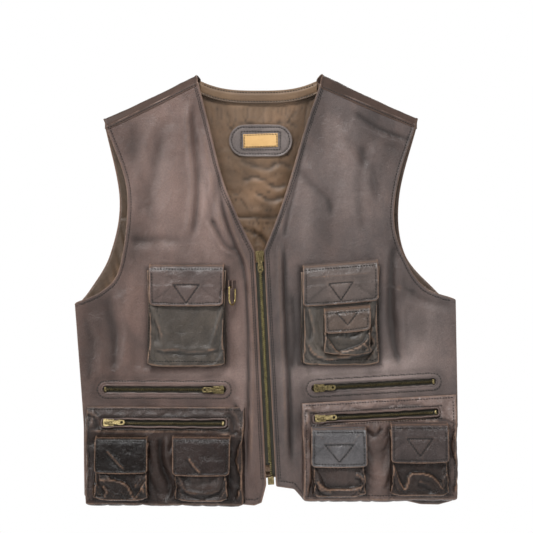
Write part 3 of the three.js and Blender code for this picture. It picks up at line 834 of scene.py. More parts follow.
def fold_right(r):
    # Pale clouds are painted sheen; dark clouds are darker patches of leather and painted shade along the
    # folds beside them.
    r.crease([(128, 600), (168, 574), (214, 556), (228, 552)], 7, -2.6, 0.6, 0)
    r.crease([(112, 560), (150, 520), (166, 460)], 11, -1.8, 0.3, 0)
    r.cloud((92, 430), (26, 74), dark=0.42)
    r.cloud((196, 545), (28, 26), dark=0.4)
    r.crease([(54, 520), (78, 492), (100, 470), (108, 440)], 9, 1.6, 0.45, 0)
    r.crease([(58, 560), (42, 490), (30, 440), (24, 400)], 5, -2.4, 0.6, 0.25)
    r.crease([(24, 420), (26, 330), (30, 230), (34, 130), (36, 50)], 6, -3.2, 0.95, 0.3)
    r.ridge([(122, 590), (128, 500), (118, 420)], 16, 3.0, 0.15, 0.05)
    r.crease([(160, 560), (150, 480), (158, 410)], 12, 2.2, 0.35, 0.05)
    r.crease([(204, 412), (198, 330), (202, 260), (214, 206)], 10, 4.0, 0.9, 0)
    r.crease([(212, 322), (246, 306), (286, 298)], 12, -2.0, 0.35, 0)
    r.crease([(44, 330), (50, 260), (46, 200)], 7, 2.4, 0.6, 0.1)
    r.ridge([(50, 206), (140, 208), (240, 222)], 9, 2.6, 0.1, 0.05)
    r.cloud((130, 207), (92, 22), pale=1.2)
    r.cloud((236, 262), (34, 60), pale=0.5)
    r.cloud((48, 270), (18, 120), dark=0.3)
    r.cloud((196, 290), (10, 70), dark=0.4)
    r.cloud((120, 500), (40, 90), pale=0.32)
    r.cloud((60, 440), (18, 60), pale=0.25)


def front_folds(name, x, z):
    """How a front's leather stands out of its plane, before its seams."""
    r = Relief(x, z)
    hang = wander(x, z, 52, 11 if name == "left" else 12, 3, 3.2)
    soft = wander(x, z, 26, 14 if name == "left" else 15, 3, 1.8)
    r.height += 2.0 * hang + 0.8 * soft + 0.25 * wander(x, z, 10, 13, 2)
    # Painted shade where the sheet sinks.
    r.dark += 0.35 * smooth(0.1, -1.1, hang) + 0.25 * smooth(0.1, -1.2, soft)
    if name == "left":
        fold_left(r)
    else:
        fold_right(r)
    return r


def slit_shape(name, x, z):
    """The signed distance to a slit pocket's rounded opening; it is negative inside."""
    slit = SLITS[name]
    mx, mz = slit["middle"]
    angle = math.atan(slit["tilt"])
    dx, dz = x - mx, z - mz
    along = dx * math.cos(angle) + dz * math.sin(angle)
    up = -dx * math.sin(angle) + dz * math.cos(angle)
    straight = slit["length"] / 2 - SLIT_HALF
    return np.hypot(np.maximum(np.abs(along) - straight, 0), up) - SLIT_HALF


def hem_height(name, x):
    hem = sorted(SIDES[name]["hem"])
    return np.interp(x, [p[0] for p in hem], [p[1] for p in hem])


def front_relief(name, x, z):
    r = front_folds(name, x, z)
    inner, _, hole = front_outline(name)
    edge, arm = distance(x, z, inner)[0], distance(x, z, hole)[0]
    near = np.minimum(edge, arm)
    shoulder = distance(x, z, SIDES[name]["seam"])[0]
    r.height *= smooth(4, 44, shoulder)
    r.height *= smooth(0, 24, near) * 0.8 + 0.2
    slit = slit_shape(name, x, z)
    r.height *= smooth(4, 22, slit)
    r.edge(edge, mix(4.0, 5.5, smooth(380, 400, z)))
    r.edge(arm, 5.0)
    r.edge(z - hem_height(name, x), 9.0, 0.4)
    r.height += 1.3 * hump(slit - 3, 3.2) - 2.4 * smooth(1.0, -1.5, slit)
    r.height -= 0.7 * hump(slit - 6.5, 1.6)
    # Painted shade in the groove round the slit and beside it.
    r.dark += 0.15 * hump(slit - 6.5, 1.6) + 0.3 * hump(slit - 12, 4)
    # Painted shade round and below the chest pockets.
    for px, pz, half, height in CHEST_SHADES[name]:
        out = np.maximum(np.abs(x - px) - half, np.maximum(z - pz, pz - height - z))
        r.dark += 0.7 * smooth(7, 0, out)
        r.height *= smooth(-6, 14, np.maximum(out, z - pz - 16))
    return r


def front_skin(name, inset=0.0, lift=0.0, thick=2.0, plain=False):
    """One front from hem to shoulder seam, as a grid from its left edge to its right one."""
    rows, columns = (80, 36) if plain else (250, 112)
    inner, outer = front_edges(name, rows)
    start, end = (outer, inner) if name == "left" else (inner, outer)
    u = np.linspace(0, 1, columns)[None, :]
    v = np.linspace(0, 1, rows)[:, None]
    x = mix(start[0][:, None] + inset, end[0][:, None] - inset, u)
    z = mix(start[1][:, None], end[1][:, None], u)
    z = z + (hem_height(name, x) - z[:1]) * (1 - v) ** 9
    z = z + inset * (1 - 2 * v)
    relief = None if plain else front_relief(name, x, z)
    height = 0.0 if plain else relief.height
    lean = np.maximum(z - FRONT_SPLIT, 0) * math.tan(SHOULDER_LEAN)
    y = -LEATHER / 2 - height + lean + lift
    points = np.stack([x, y, z], 2).reshape(-1, 3)
    return Skin(points, grid_faces(rows, columns), front_plane(name), thick, relief)


def bend_between(obj):
    """The piece's placement is baked into its mesh."""
    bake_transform(obj)
    return obj


def shifted(path, distance_out):
    """A path moved sideways, to its left where the distance is positive."""
    path = np.asarray(path, float)
    way = np.gradient(path, axis=0)
    way /= np.maximum(np.linalg.norm(way, axis=1, keepdims=True), 1e-9)
    return path + np.stack([-way[:, 1], way[:, 0]], 1) * distance_out


def clipped(path, low, high):
    path = np.asarray(path)
    return path[(path[:, 1] >= low) & (path[:, 1] <= high)]


def make_front(name):
    skin = front_skin(name)
    obj = skin.build(f"front_leather_{name}", LOOKS[name])
    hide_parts(f"front_panel_{name}", f"upper_front_{name}")
    bend_between(obj)
    lining = front_skin(name, inset=11, lift=5.2, thick=0.9, plain=True)
    lined = lining.build(f"front_lining_cloth_{name}", LOOKS["lining"], levels=0)
    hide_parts(f"front_lining_{name}", f"upper_lining_{name}")
    bend_between(lined)
    rows = Heap()
    inner, _, hole = front_outline(name)
    toward = 1 if name == "left" else -1
    for inset in (4.0, 7.6):
        stitches(rows, skin, clipped(shifted(inner, toward * inset), 40, 640))
    stitches(rows, skin, shifted(hole, -toward * 5.0)[4:-4])
    stitches(rows, skin, polyline(SIDES[name]["hem"], 6)[1:-1] + (0, 9))
    stitches(rows, skin, slit_path(SLITS[name], 6.0))
    sewn = rows.build(f"front_stitches_{name}", LOOKS["thread"], skin.plane)
    bend_between(sewn)


def slit_path(slit, out, count=140):
    """A rounded path round a slit pocket's opening."""
    straight, radius = slit["length"] / 2 - SLIT_HALF, SLIT_HALF + out
    right = np.linspace(-math.pi / 2, math.pi / 2, 16)
    left = right + math.pi
    ends = []
    for a, shift in ((right, straight), (left, -straight)):
        ends.append(np.stack([np.cos(a) * radius + shift, np.sin(a) * radius], 1))
    path = np.vstack(ends + [ends[0][:1]])
    angle = math.atan(slit["tilt"])
    spin = np.array([[math.cos(angle), math.sin(angle)], [-math.sin(angle), math.cos(angle)]])
    return respaced(path @ spin + slit["middle"], count)


# -------------------------------------------------------------------------------- back


def back_surface(x, z):
    across = np.maximum(np.abs(x) - BACK_FLAT_HALF, 0) * BACK_SIDE_SLOPE
    up = np.maximum(z - BACK_LEAN_FROM, 0) * BACK_LEAN
    return BACK_DEPTH - across - up


def back_top(x):
    neck = BACK_NECK
    centre, half = (neck["left"] + neck["right"]) / 2, (neck["right"] - neck["left"]) / 2
    out = np.abs(x - centre) / half
    arc = mix(neck["middle"], neck["point"], np.minimum(out, 1) ** 3)
    slopes = []
    for side, point in (("left", neck["left"]), ("right", neck["right"])):
        tip = BACK_EDGES[side][-1]
        slopes.append(mix(neck["point"], tip[1], (x - point) / (tip[0] - point)) - 2)
    shoulder = np.where(x < centre, slopes[0], slopes[1])
    return np.where(out <= 1, arc, shoulder)


def back_grid(rows, columns, inset=0.0):
    edges = []
    for side in ("left", "right"):
        points = BACK_EDGES[side]
        curve = np.vstack([polyline(points[:3], 5)[:-1], spline(points[2:], 120)])
        edges.append(by_height(curve, np.linspace(0, 1, rows)))
    u, v = np.linspace(0, 1, columns)[None, :], np.linspace(0, 1, rows)[:, None]
    x = mix(edges[0][0][:, None] + inset, edges[1][0][:, None] - inset, u)
    z = mix(edges[0][1][:, None], edges[1][1][:, None], u)
    z = z + v**3 * (back_top(x) - z[-1][None, :]) + inset * (1 - 2 * v)
    z = z + 30 * hump(x - 20, 95) * (1 - v) ** 6
    return x, z


def make_back():
    x, z = back_grid(150, 140)
    r = Relief(x, z)
    hang = wander(x, z, 80, 21, 3, 3.0)
    r.height += 2.6 * hang + 0.7 * wander(x, z, 26, 22, 3, 1.6)
    # Painted shade where the sheet sinks.
    r.dark += 0.3 * smooth(0.1, -1.1, hang)
    r.crease([(-196, 560), (-150, 500), (-128, 420)], 12, 2.8, 0.5)
    r.crease([(186, 560), (144, 500), (126, 420)], 12, -2.8, 0.5)
    r.ridge([(-64, 340), (-50, 200), (-64, 60)], 16, 3.4)
    r.ridge([(92, 320), (98, 180), (84, 50)], 18, 3.4)
    r.crease([(-190, 210), (-120, 236), (-40, 224)], 10, 2.0, 0.35)
    r.crease([(60, 620), (40, 520), (52, 430)], 14, 2.2, 0.3, 0)
    r.crease([(200, 250), (150, 226), (110, 232)], 9, -2.0, 0.35, 0)
    # A painted sheen on the upper back, and darker towards the hem.
    r.cloud((0, 430), (120, 120), pale=0.3)
    r.cloud((10, 60), (170, 40), dark=0.25)
    rim = np.minimum(np.abs(x - x[:, :1]), np.abs(x - x[:, -1:]))
    hem = z - z[:1]
    r.height *= smooth(0, 30, np.minimum(rim, hem))
    r.edge(rim, 6.0)
    r.edge(hem, 9.0, 0.4)
    r.edge(z[-1:] - z, 6.0)
    y = back_surface(x, z) + LEATHER / 2 + r.height
    points = np.stack([x, y, z], 2).reshape(-1, 3)
    plane = Matrix.Identity(4)
    skin = Skin(points, grid_faces(*x.shape)[:, ::-1], plane, 2.0, r, out=1)
    obj = skin.build("back_leather", LOOKS["back"])
    stand_in(obj, "shell", "leather", "back_panel")
    sewn = Heap()
    for column, inward in ((0, 6.0), (-1, -6.0)):
        edge = np.stack([x[:, column] + inward, z[:, column]], 1)
        stitches(sewn, skin, edge[edge[:, 1] > 300][3:-6])
    stitches(sewn, skin, np.stack([x[0], z[0] + 9.0], 1)[3:-3])
    stitches(sewn, skin, np.stack([x[-1], z[-1] - 6.0], 1)[4:-4])
    stand_in(sewn.build("back_stitches", LOOKS["thread"], plane), "shell", "leather")


def lining_relief(x, z):
    """The lining hangs in soft folds under the patch."""
    r = Relief(x, z)
    soft = wander(x, z, 44, 31, 3, 2.0)
    fine = 1 - 2.2 * np.abs(wander(x + z * 0.7, z - x * 0.3, 30, 32, 3, 0.6))
    r.height += 1.8 * soft + 1.1 * np.maximum(fine, 0) + 0.3 * wander(x, z, 8, 33, 2)
    # Painted shade where the lining sinks.
    r.dark += 0.3 * smooth(0.1, -1, soft)
    r.crease([(-40, 432), (-18, 424), (0, 412), (10, 392)], 5, 2.4, 0.6, 0)
    r.crease([(-66, 572), (-40, 590), (0, 584), (30, 592), (56, 580)], 4, 1.4, 0.4, 0)
    r.crease([(62, 540), (46, 500), (32, 460)], 6, 2.2, 0.5, 0)
    r.crease([(-46, 528), (0, 514), (20, 522), (44, 512)], 6, -1.3, 0.4, 0)
    r.crease([(-40, 496), (-10, 500), (14, 486), (40, 492)], 5, -1.3, 0.4, 0)
    r.crease([(-20, 480), (6, 466), (34, 474)], 5, -1.2, 0.4, 0)
    return r


def make_back_lining():
    x, z = back_grid(170, 150, 3.0)
    r = lining_relief(x, z)
    rim = np.minimum(np.abs(x - x[:, :1]), np.abs(x - x[:, -1:]))
    r.height *= smooth(0, 22, rim) * smooth(0, 26, z[-1:] - z)
    seam = z - 442 - 0.02 * x
    r.height += 1.4 * hump(seam + 2, 2.2) - 1.6 * hump(seam - 2.5, 2.4)
    # Painted shade below the seam's fold, along the armholes and beside the fronts' neck edges.
    r.dark += 0.8 * hump(seam - 2, 1.8)
    r.dark += 0.95 * smooth(30, 8, rim) * smooth(300, 330, z)
    for side in SIDES.values():
        away = distance(x, z, spline(side["centre"][2:], 40))[0]
        r.dark += 0.5 * smooth(44, 0, away) * smooth(400, 470, z)
    y = back_surface(x, z) - 4.0 - r.height
    points = np.stack([x, y, z], 2).reshape(-1, 3)
    faces = grid_faces(*x.shape)
    pins = np.zeros(x.shape)
    pins[:, :2] = pins[:, -2:] = pins[:2] = 1
    pins[z > 610] = 1
    pins[np.abs(seam) < 3] = 0.6
    settled = settle(points, faces, pins.ravel(), 0.014, frames=14, cap=3.0, stiff=0.08)
    settled[:, 1] = np.clip(settled[:, 1], points[:, 1] - 6, back_surface(x, z).ravel() - 1.2)
    skin = Skin(settled, faces, Matrix.Identity(4), 0.9, r)
    obj = skin.build("back_lining_cloth", LOOKS["lining"], edge_wear=0)
    stand_in(obj, "shell", "lining", "back_lining")


def make_neck():
    """The facing inside the neck, the leather patch below it and its blank label."""
    left, right = BACK_NECK["left"] - 1, BACK_NECK["right"] + 1
    rows, columns = 16, 96
    u = np.linspace(0, 1, columns)[None, :]
    v = np.linspace(0, 1, rows)[:, None]
    x = mix(left, right, u) + 0 * v
    out = np.abs(2 * u - 1)
    top = mix(BACK_NECK["middle"], BACK_NECK["point"], out**3) - 0.5
    z = mix(top - 20, top, v) + 0 * x
    r = Relief(x, z)
    r.height += 0.4 * wander(x, z, 18, 41) + 0.25 * wander(x, z, 7, 42, 1, 4.0)
    r.edge(z - (top - 20), 3.0, 0.1)
    r.edge(top - z, 3.4, 0.3)
    # Painted shade along the facing's lower edge.
    r.dark += 0.8 * hump(z - (top - 19.5), 1.5)
    y = back_surface(x, z) - 8.6 - r.height + 3.0 * smooth(7, 0, top - z)
    points = np.stack([x, y, z], 2).reshape(-1, 3)
    skin = Skin(points, grid_faces(rows, columns), Matrix.Identity(4), 1.8, r)
    obj = skin.build("neck_facing_leather", LOOKS["facing"], edge_wear=0.15)
    stand_in(obj, "shell", "leather", "back_neck_facing")
    rows_of = Heap()
    for down in (3.6, 17.0):
        stitches(rows_of, skin, np.stack([x[0], (top - down)[0]], 1)[3:-3])
    stand_in(rows_of.build("facing_stitches", LOOKS["thread"], skin.plane), "shell", "leather")
    lean = at(-8, float(back_surface(0, 559)) - 8.2, 559) @ turn("X", math.atan(BACK_LEAN))
    patch = stadium_skin(49, 25, lean, 1.8)
    obj = patch.build("label_patch_leather", LOOKS["patch"], edge_wear=0.3)
    stand_in(obj, "shell", "patch", "label_patch")
    sewn = Heap()
    stitches(sewn, patch, stadium_path(49 - 4, 25 - 4))
    stitches(sewn, patch, stadium_path(30, 14, 3))
    stand_in(sewn.build("patch_stitches", LOOKS["thread"], lean), "shell", "patch")
    make_label(lean)


def stadium_path(half_length, half_height, radius=None, count=120):
    radius = min(radius or half_height, half_height)
    corners = [(1, -1), (1, 1), (-1, 1), (-1, -1)]
    path = []
    for i, (sx, sz) in enumerate(corners):
        middle = np.array([sx * (half_length - radius), sz * (half_height - radius)])
        angles = np.linspace(i - 1, i, 12) * math.pi / 2
        path.append(middle + radius * np.stack([np.cos(angles), np.sin(angles)], 1))
    path.append(path[0][:1])
    return respaced(np.vstack(path), count)


def stadium_skin(half_length, half_height, plane, thick):
    """A rounded plate on a grid that is squeezed into its outline."""
    columns, rows = 66, 34
    u, v = np.meshgrid(np.linspace(-1, 1, columns), np.linspace(-1, 1, rows))
    core = half_length - half_height
    z = v * half_height
    reach = core + np.sqrt(np.maximum(half_height**2 - z**2, 4.0))
    x = u * reach
    z = z * (1 - 0.02 * u * u)
    away = half_height - np.hypot(np.maximum(np.abs(x) - core, 0), z)
    r = Relief(x, z)
    r.height += 0.5 * wander(x, z, 16, 43)
    r.edge(away, 4.0, 0.15)
    r.dark += 0.5 * hump(np.maximum(np.abs(x) / 30, np.abs(z) / 14) - 1, 0.06)
    points = np.stack([x, -1.0 - r.height, z], 2).reshape(-1, 3)
    return Skin(points, grid_faces(rows, columns), plane, thick, r)


def make_label(lean):
    columns, rows = 44, 18
    u, v = np.meshgrid(np.linspace(-1, 1, columns), np.linspace(-1, 1, rows))
    x, z = u * 26.5, v * 10.5
    h = 0.35 * wander(x, z, 12, 44) - 0.5 * np.maximum(np.abs(u), np.abs(v)) ** 8
    points = np.stack([x, -h, z], 2).reshape(-1, 3)
    plane = lean @ at(0, -3.0, 0) @ turn("Y", math.radians(-2))
    skin = Skin(points, grid_faces(rows, columns), plane, 0.6)
    obj = skin.build("neck_label_cloth", LOOKS["label"])
    stand_in(obj, "shell", "label", "neck_label")
    sewn = Heap()
    stitches(sewn, skin, stadium_path(24.8, 9.0, 0.8))
    stand_in(sewn.build("label_stitches", LOOKS["thread"], plane), "shell", "label")


# --------------------------------------------------------------------------- shoulders


def front_seam_depth(x, z):
    """Where a front's face is at its shoulder seam."""
    plane = -FRONT_FORWARD + abs(x) * math.tan(FRONT_TURN)
    return plane + (z - FRONT_SPLIT) * math.tan(SHOULDER_LEAN) - LEATHER - 0.6


def make_yoke(name):
    """The leather that wraps the shoulder from the back to the front's seam."""
    side = SIDES[name]
    rear = [(BACK_NECK[name], BACK_NECK["point"]), BACK_EDGES[name][-1]]
    seam = [side["centre"][-1], side["seam"][1]]
    rows, columns = 30, 76
    u = np.linspace(0, 1, columns)[None, :]
    v = np.linspace(0, 1, rows)[:, None]
    ends = []
    for (sx, sz), (rx, rz), (bx, bz) in zip(seam, side["ridge"], rear):
        low, high = front_seam_depth(sx, sz), float(back_surface(bx, bz)) + LEATHER + 1.4
        guide = [(sx, low, sz - 6), (sx, low + 0.6, sz - 1), (sx, low + 4, sz + 3)]
        guide += [(rx, mix(low, high, 0.5), rz), (bx, high - 3.0, bz + 2), (bx, high, bz - 8)]
        ends.append(spline(guide, rows))
    points = mix(ends[0][:, None], ends[1][:, None], u[:, :, None])
    x, z = u * 150 + 0 * v, v * 60 + 0 * u
    r = Relief(x, z)
    r.height += 0.7 * wander(x, z, 24, 51, 3)
    r.edge(z, 3.4, 0.15)
    r.edge(60 - z, 3.4, 0.15)
    r.edge(np.minimum(x, 150 - x), 4.0, 0.4)
    points[:, :, 2] += r.height - 1.4 * np.sin(np.pi * u)
    points[:, :, 1] -= 0.5 * r.height * (1 - 2 * v)
    faces = grid_faces(rows, columns)
    faces = faces if name == "right" else faces[:, ::-1]
    skin = Skin(points.reshape(-1, 3), faces, Matrix.Identity(4), 1.6, r)
    obj = skin.build(f"shoulder_{name}", LOOKS["yoke"], edge_wear=0.2, crumple=0)
    stand_in(obj, "shell", "leather", f"shoulder_yoke_{name}")
    sewn = Heap()
    start, end = np.array(seam[0]) - (0, 3.2), np.array(seam[1]) - (0, 3.2)
    stitches(sewn, skin, mix(start, end, np.linspace(0.02, 0.98, 60)[:, None]))
    stand_in(sewn.build(f"shoulder_stitches_{name}", LOOKS["thread"], skin.plane), "shell", "leather")


# ----------------------------------------------------------------------------- pockets


def box_surface(width, height, depth_at, cell, tilt=0.0):
    """The front wall, gussets and base of a pouch, as points, faces and lattice places."""
    nx = max(6, int(width / cell))
    nz = max(6, int(height / cell))
    ny = 4
    index, points, places = {}, [], []

    def point(i, j, k):
        key = (i, j, k)
        if key not in index:
            x = (i / nx - 0.5) * width
            z = -height + height * k / nz
            y = -depth_at(z) * (1 - j / ny)
            index[key] = len(points)
            points.append((x, y, z + tilt * x * k / nz))
            places.append((i / nx, j / ny, k / nz))
        return index[key]

    faces = []
    for i in range(nx):
        for k in range(nz):
            faces.append([point(i, 0, k), point(i + 1, 0, k), point(i + 1, 0, k + 1), point(i, 0, k + 1)])
    for j in range(ny):
        for k in range(nz):
            faces.append([point(0, j + 1, k), point(0, j, k), point(0, j, k + 1), point(0, j + 1, k + 1)])
            faces.append([point(nx, j, k), point(nx, j + 1, k), point(nx, j + 1, k + 1), point(nx, j, k + 1)])
        for i in range(nx):
            faces.append([point(i, j + 1, 0), point(i + 1, j + 1, 0), point(i + 1, j, 0), point(i, j, 0)])
    return np.array(points, float), np.array(faces), np.array(places)


def flap_out(down):
    """How far a hanging flap's middle stands out at `down` below its seam."""
    return np.interp(down, [-z for _, z in FLAP_PROFILE], [out for out, _ in FLAP_PROFILE])


def pouch_skin(plane, width, height, base, seed, lid=60, tilt=0.0, grow=0.07, folds=None, cell=2.5):
    """A soft patch pocket with gussets: it bulges and crumples below its flap."""

    def depth(z):
        down = -z / height
        return mix(RIM_DEPTH, base, down) + 2.5 * math.sin(math.pi * min(1, down)) - 1.2

    points, faces, places = box_surface(width - 2, height - 1, depth, cell, tilt)
    sewn = places[:, 1] > 0.99
    seam = (places[:, 1] < 0.01) & (places[:, 0] % 1 < 0.001)
    seam |= (places[:, 1] < 0.01) & (places[:, 2] < 0.001)
    points = relaxed(points, faces, sewn | (places[:, 2] > 0.99), 4)
    r = Relief(points[:, 0], points[:, 2])
    soft = wander(r.x, r.z, 24, seed, 3)
    r.height += 1.0 * soft + 0.35 * wander(r.x, r.z, 9, seed + 1, 2)
    # Painted shade where the pouch sinks.
    r.dark += 0.3 * smooth(0.1, -1, soft)
    front = smooth(0.3, 0.0, places[:, 1])
    if folds:
        folds(r)
    sides = np.minimum(width / 2 - np.abs(r.x), r.z + height)
    r.edge(np.maximum(sides, 0), 4.5, 0.0)
    loose = np.clip(-points[:, 1] / base, 0, 1)
    points[:, 1] -= r.height * loose
    r.worn = r.worn * front + 0.75 * seam
    # Painted shade on the gussets and base.
    r.dark = r.dark * front + 0.75 * (1 - front) * (places[:, 1] < 1)
    pins = np.where(sewn, 1.0, np.where(places[:, 2] > 0.97, 0.7, 0.0))
    settled = settle(points, faces, pins, grow, frames=16, cap=5.0, pressure=0.4, stiff=0.3)
    settled[seam, 1] -= 0.9
    settled[seam, 0] += 0.7 * np.sign(settled[seam, 0])
    down = RIM_DOWN - settled[:, 2] + tilt * settled[:, 0]
    limit = np.where(down < lid + 3, flap_out(down) - 2.6, 99)
    settled[:, 1] = np.maximum(settled[:, 1], -limit)
    settled[:, 1] = np.where(sewn, settled[:, 1], np.minimum(settled[:, 1], -0.6))
    return Skin(settled, faces, plane, 1.6, r)


def make_pouch(name, body, plane, look, node, width, height, inset=4.5, tone=0.0, **shape):
    skin = pouch_skin(plane, width, height, **shape)
    obj = skin.build(name, look, tone=tone, edge_wear=0.4)
    stand_in(obj, body, "pocket_leather", node)
    sewn = Heap()
    half = width / 2
    path = [(-half + inset, -14), (-half + inset, -height + inset + 5)]
    path += [(-half + inset + 5, -height + inset), (half - inset - 5, -height + inset)]
    path += [(half - inset, -height + inset + 5), (half - inset, -14)]
    stitches(sewn, skin, polyline(path, 4))
    stand_in(sewn.build(f"{name}_stitches", LOOKS["thread"], plane), body, "pocket_leather")


FLAP_PROFILE = [(1.4, 0), (5.2, -2.2), (10.2, -6.0), (12.9, -12.5), (14.0, -30), (14.9, -62)]


def flap_skin(plane, width, lower, length, seed, tilt=0.0, triangle=None, folds=None, corner=6.0):
    """A flap from its sewn top edge: it bends out over its pocket and hangs down."""
    last = float(flap_out(length))
    shown = [p for p in FLAP_PROFILE if p[1] > 4 - length]
    curve = spline(shown + [(last, -length)], 400)
    steps = np.linalg.norm(np.diff(curve, axis=0), axis=1)
    reach = np.concatenate([[0], np.cumsum(steps)])
    rows, columns = max(16, int(reach[-1] / 2.2)), max(16, int(width / 2.4))
    along = np.linspace(0, 1, rows) * reach[-1]
    out = np.interp(along, reach, curve[:, 0])
    down = np.interp(along, reach, curve[:, 1])
    left = reach[-1] - along
    round_in = corner - np.sqrt(np.maximum(corner**2 - np.maximum(corner - left, 0) ** 2, 0))
    share = along / reach[-1]
    half = mix(width, lower, share) / 2 - round_in
    u = np.linspace(-1, 1, columns)[None, :]
    x = half[:, None] * u
    z = down[:, None] - 1.0 * np.cos(u * math.pi / 2) * share[:, None] ** 2 + tilt * x
    r = Relief(x, z - tilt * x)
    soft = wander(x, z, 30, seed, 3)
    r.height += (0.9 * soft + 0.3 * wander(x, z, 10, seed + 3, 2)) * smooth(0, 14, along)[:, None]
    # Painted shade where the flap sinks.
    r.dark += 0.3 * smooth(0.1, -1, soft)
    if folds is not None:
        folds(r)
    if triangle:
        away, _, inside = distance(r.x, r.z, triangle_path(*triangle))
        r.height += np.where(inside < 0, 0.9 * smooth(0, 4, away), 0.5 * hump(away - 3, 2))
        r.height -= 0.8 * hump(away, 1.3)
        # Painted shade in the sewn groove round the triangle.
        r.dark += 0.8 * hump(away, 1.3)
        r.worn += 0.25 * hump(away - 2.4, 1.2)
    edge = np.minimum(half[:, None] * (1 - np.abs(u)), left[:, None])
    r.edge(edge, 4.0, 0.5)
    r.worn += 0.6 * hump(along[:, None] - 7, 2.2)
    # Painted shade in the groove under the flap's fold.
    r.dark += 0.6 * hump(along[:, None] - 14.5, 1.8)
    r.height -= 0.6 * hump(along[:, None] - 14.5, 1.6)
    y = -out[:, None] - r.height
    for values in ("height", "worn", "dark"):
        setattr(r, values, getattr(r, values)[::-1])
    points = np.stack([x, y, z], 2)[::-1].reshape(-1, 3)
    return Skin(points, grid_faces(rows, columns), plane, 2.0, r)


def triangle_path(width, depth, top):
    """A triangle standing on its point, drawn clockwise so that its inside is on the right."""
    half = width / 2
    return [(-half, top), (half, top), (0.0, top - depth), (-half, top)]


def make_flap(name, body, plane, look, width, lower, length, seed, tilt=0.0, triangle=None, folds=None):
    skin = flap_skin(plane, width, lower, length, seed, tilt, triangle, folds)
    obj = skin.build(f"{name}_leather", look, edge_wear=0.7)
    stand_in(obj, body, "flap_leather", name)
    sewn = Heap()
    half, low, inset = width / 2, lower / 2, 4.0
    path = [(-half + inset, -14), (-low + inset, -length + inset + 4)]
    path += [(-low + inset + 4, -length + inset), (low - inset - 4, -length + inset)]
    path += [(low - inset, -length + inset + 4), (half - inset, -14)]
    rows = [polyline(path, 4), polyline([(-half + 3, -8.5), (half - 3, -8.5)], 4)]
    if triangle:
        rows.append(polyline(triangle_path(*triangle), 4))
    for row in rows:
        stitches(sewn, skin, row + np.stack([0 * row[:, 0], tilt * row[:, 0]], 1))
    stand_in(sewn.build(f"{name}_stitches", LOOKS["thread"], plane), body, "flap_leather")


# ------------------------------------------------------------------------ cargo pockets


def cargo_depth(down, height):
    if down < CARGO_BAND:
        return mix(CARGO_TOP, CARGO_LIP, down / CARGO_BAND)
    return mix(CARGO_LIP, CARGO_BASE, (down - CARGO_BAND) / (height - CARGO_BAND))


def cargo_seat(name):
    x, z = CARGOS[name]["place"]
    return front_plane(name) @ at(x, -LEATHER, z)


def cargo_plane(name):
    cargo = CARGOS[name]
    rise = (CARGO_BASE - CARGO_LIP) / (cargo["height"] - CARGO_BAND)
    out = CARGO_LIP - rise * CARGO_BAND + rise * cargo["tilt"] * cargo["width"] / 2
    return cargo_seat(name) @ at(0, -out, 0) @ turn("X", -math.atan(rise))


def cargo_face(name):
    """The band's plane, with its origin at the left end of the zip."""
    cargo = CARGOS[name]
    slope = math.atan2(CARGO_LIP - CARGO_TOP, CARGO_BAND)
    out = mix(CARGO_TOP, CARGO_LIP, CARGO_ZIP / CARGO_BAND)
    middle = sum(cargo["zip"]) / 2
    length = cargo["zip"][1] - cargo["zip"][0]
    place = at(middle, -out, cargo["tilt"] * middle - CARGO_ZIP)
    spin = turn("Y", -math.atan(cargo["tilt"])) @ turn("X", -slope)
    return cargo_seat(name) @ place @ spin @ at(-length / 2, LEATHER, 0)


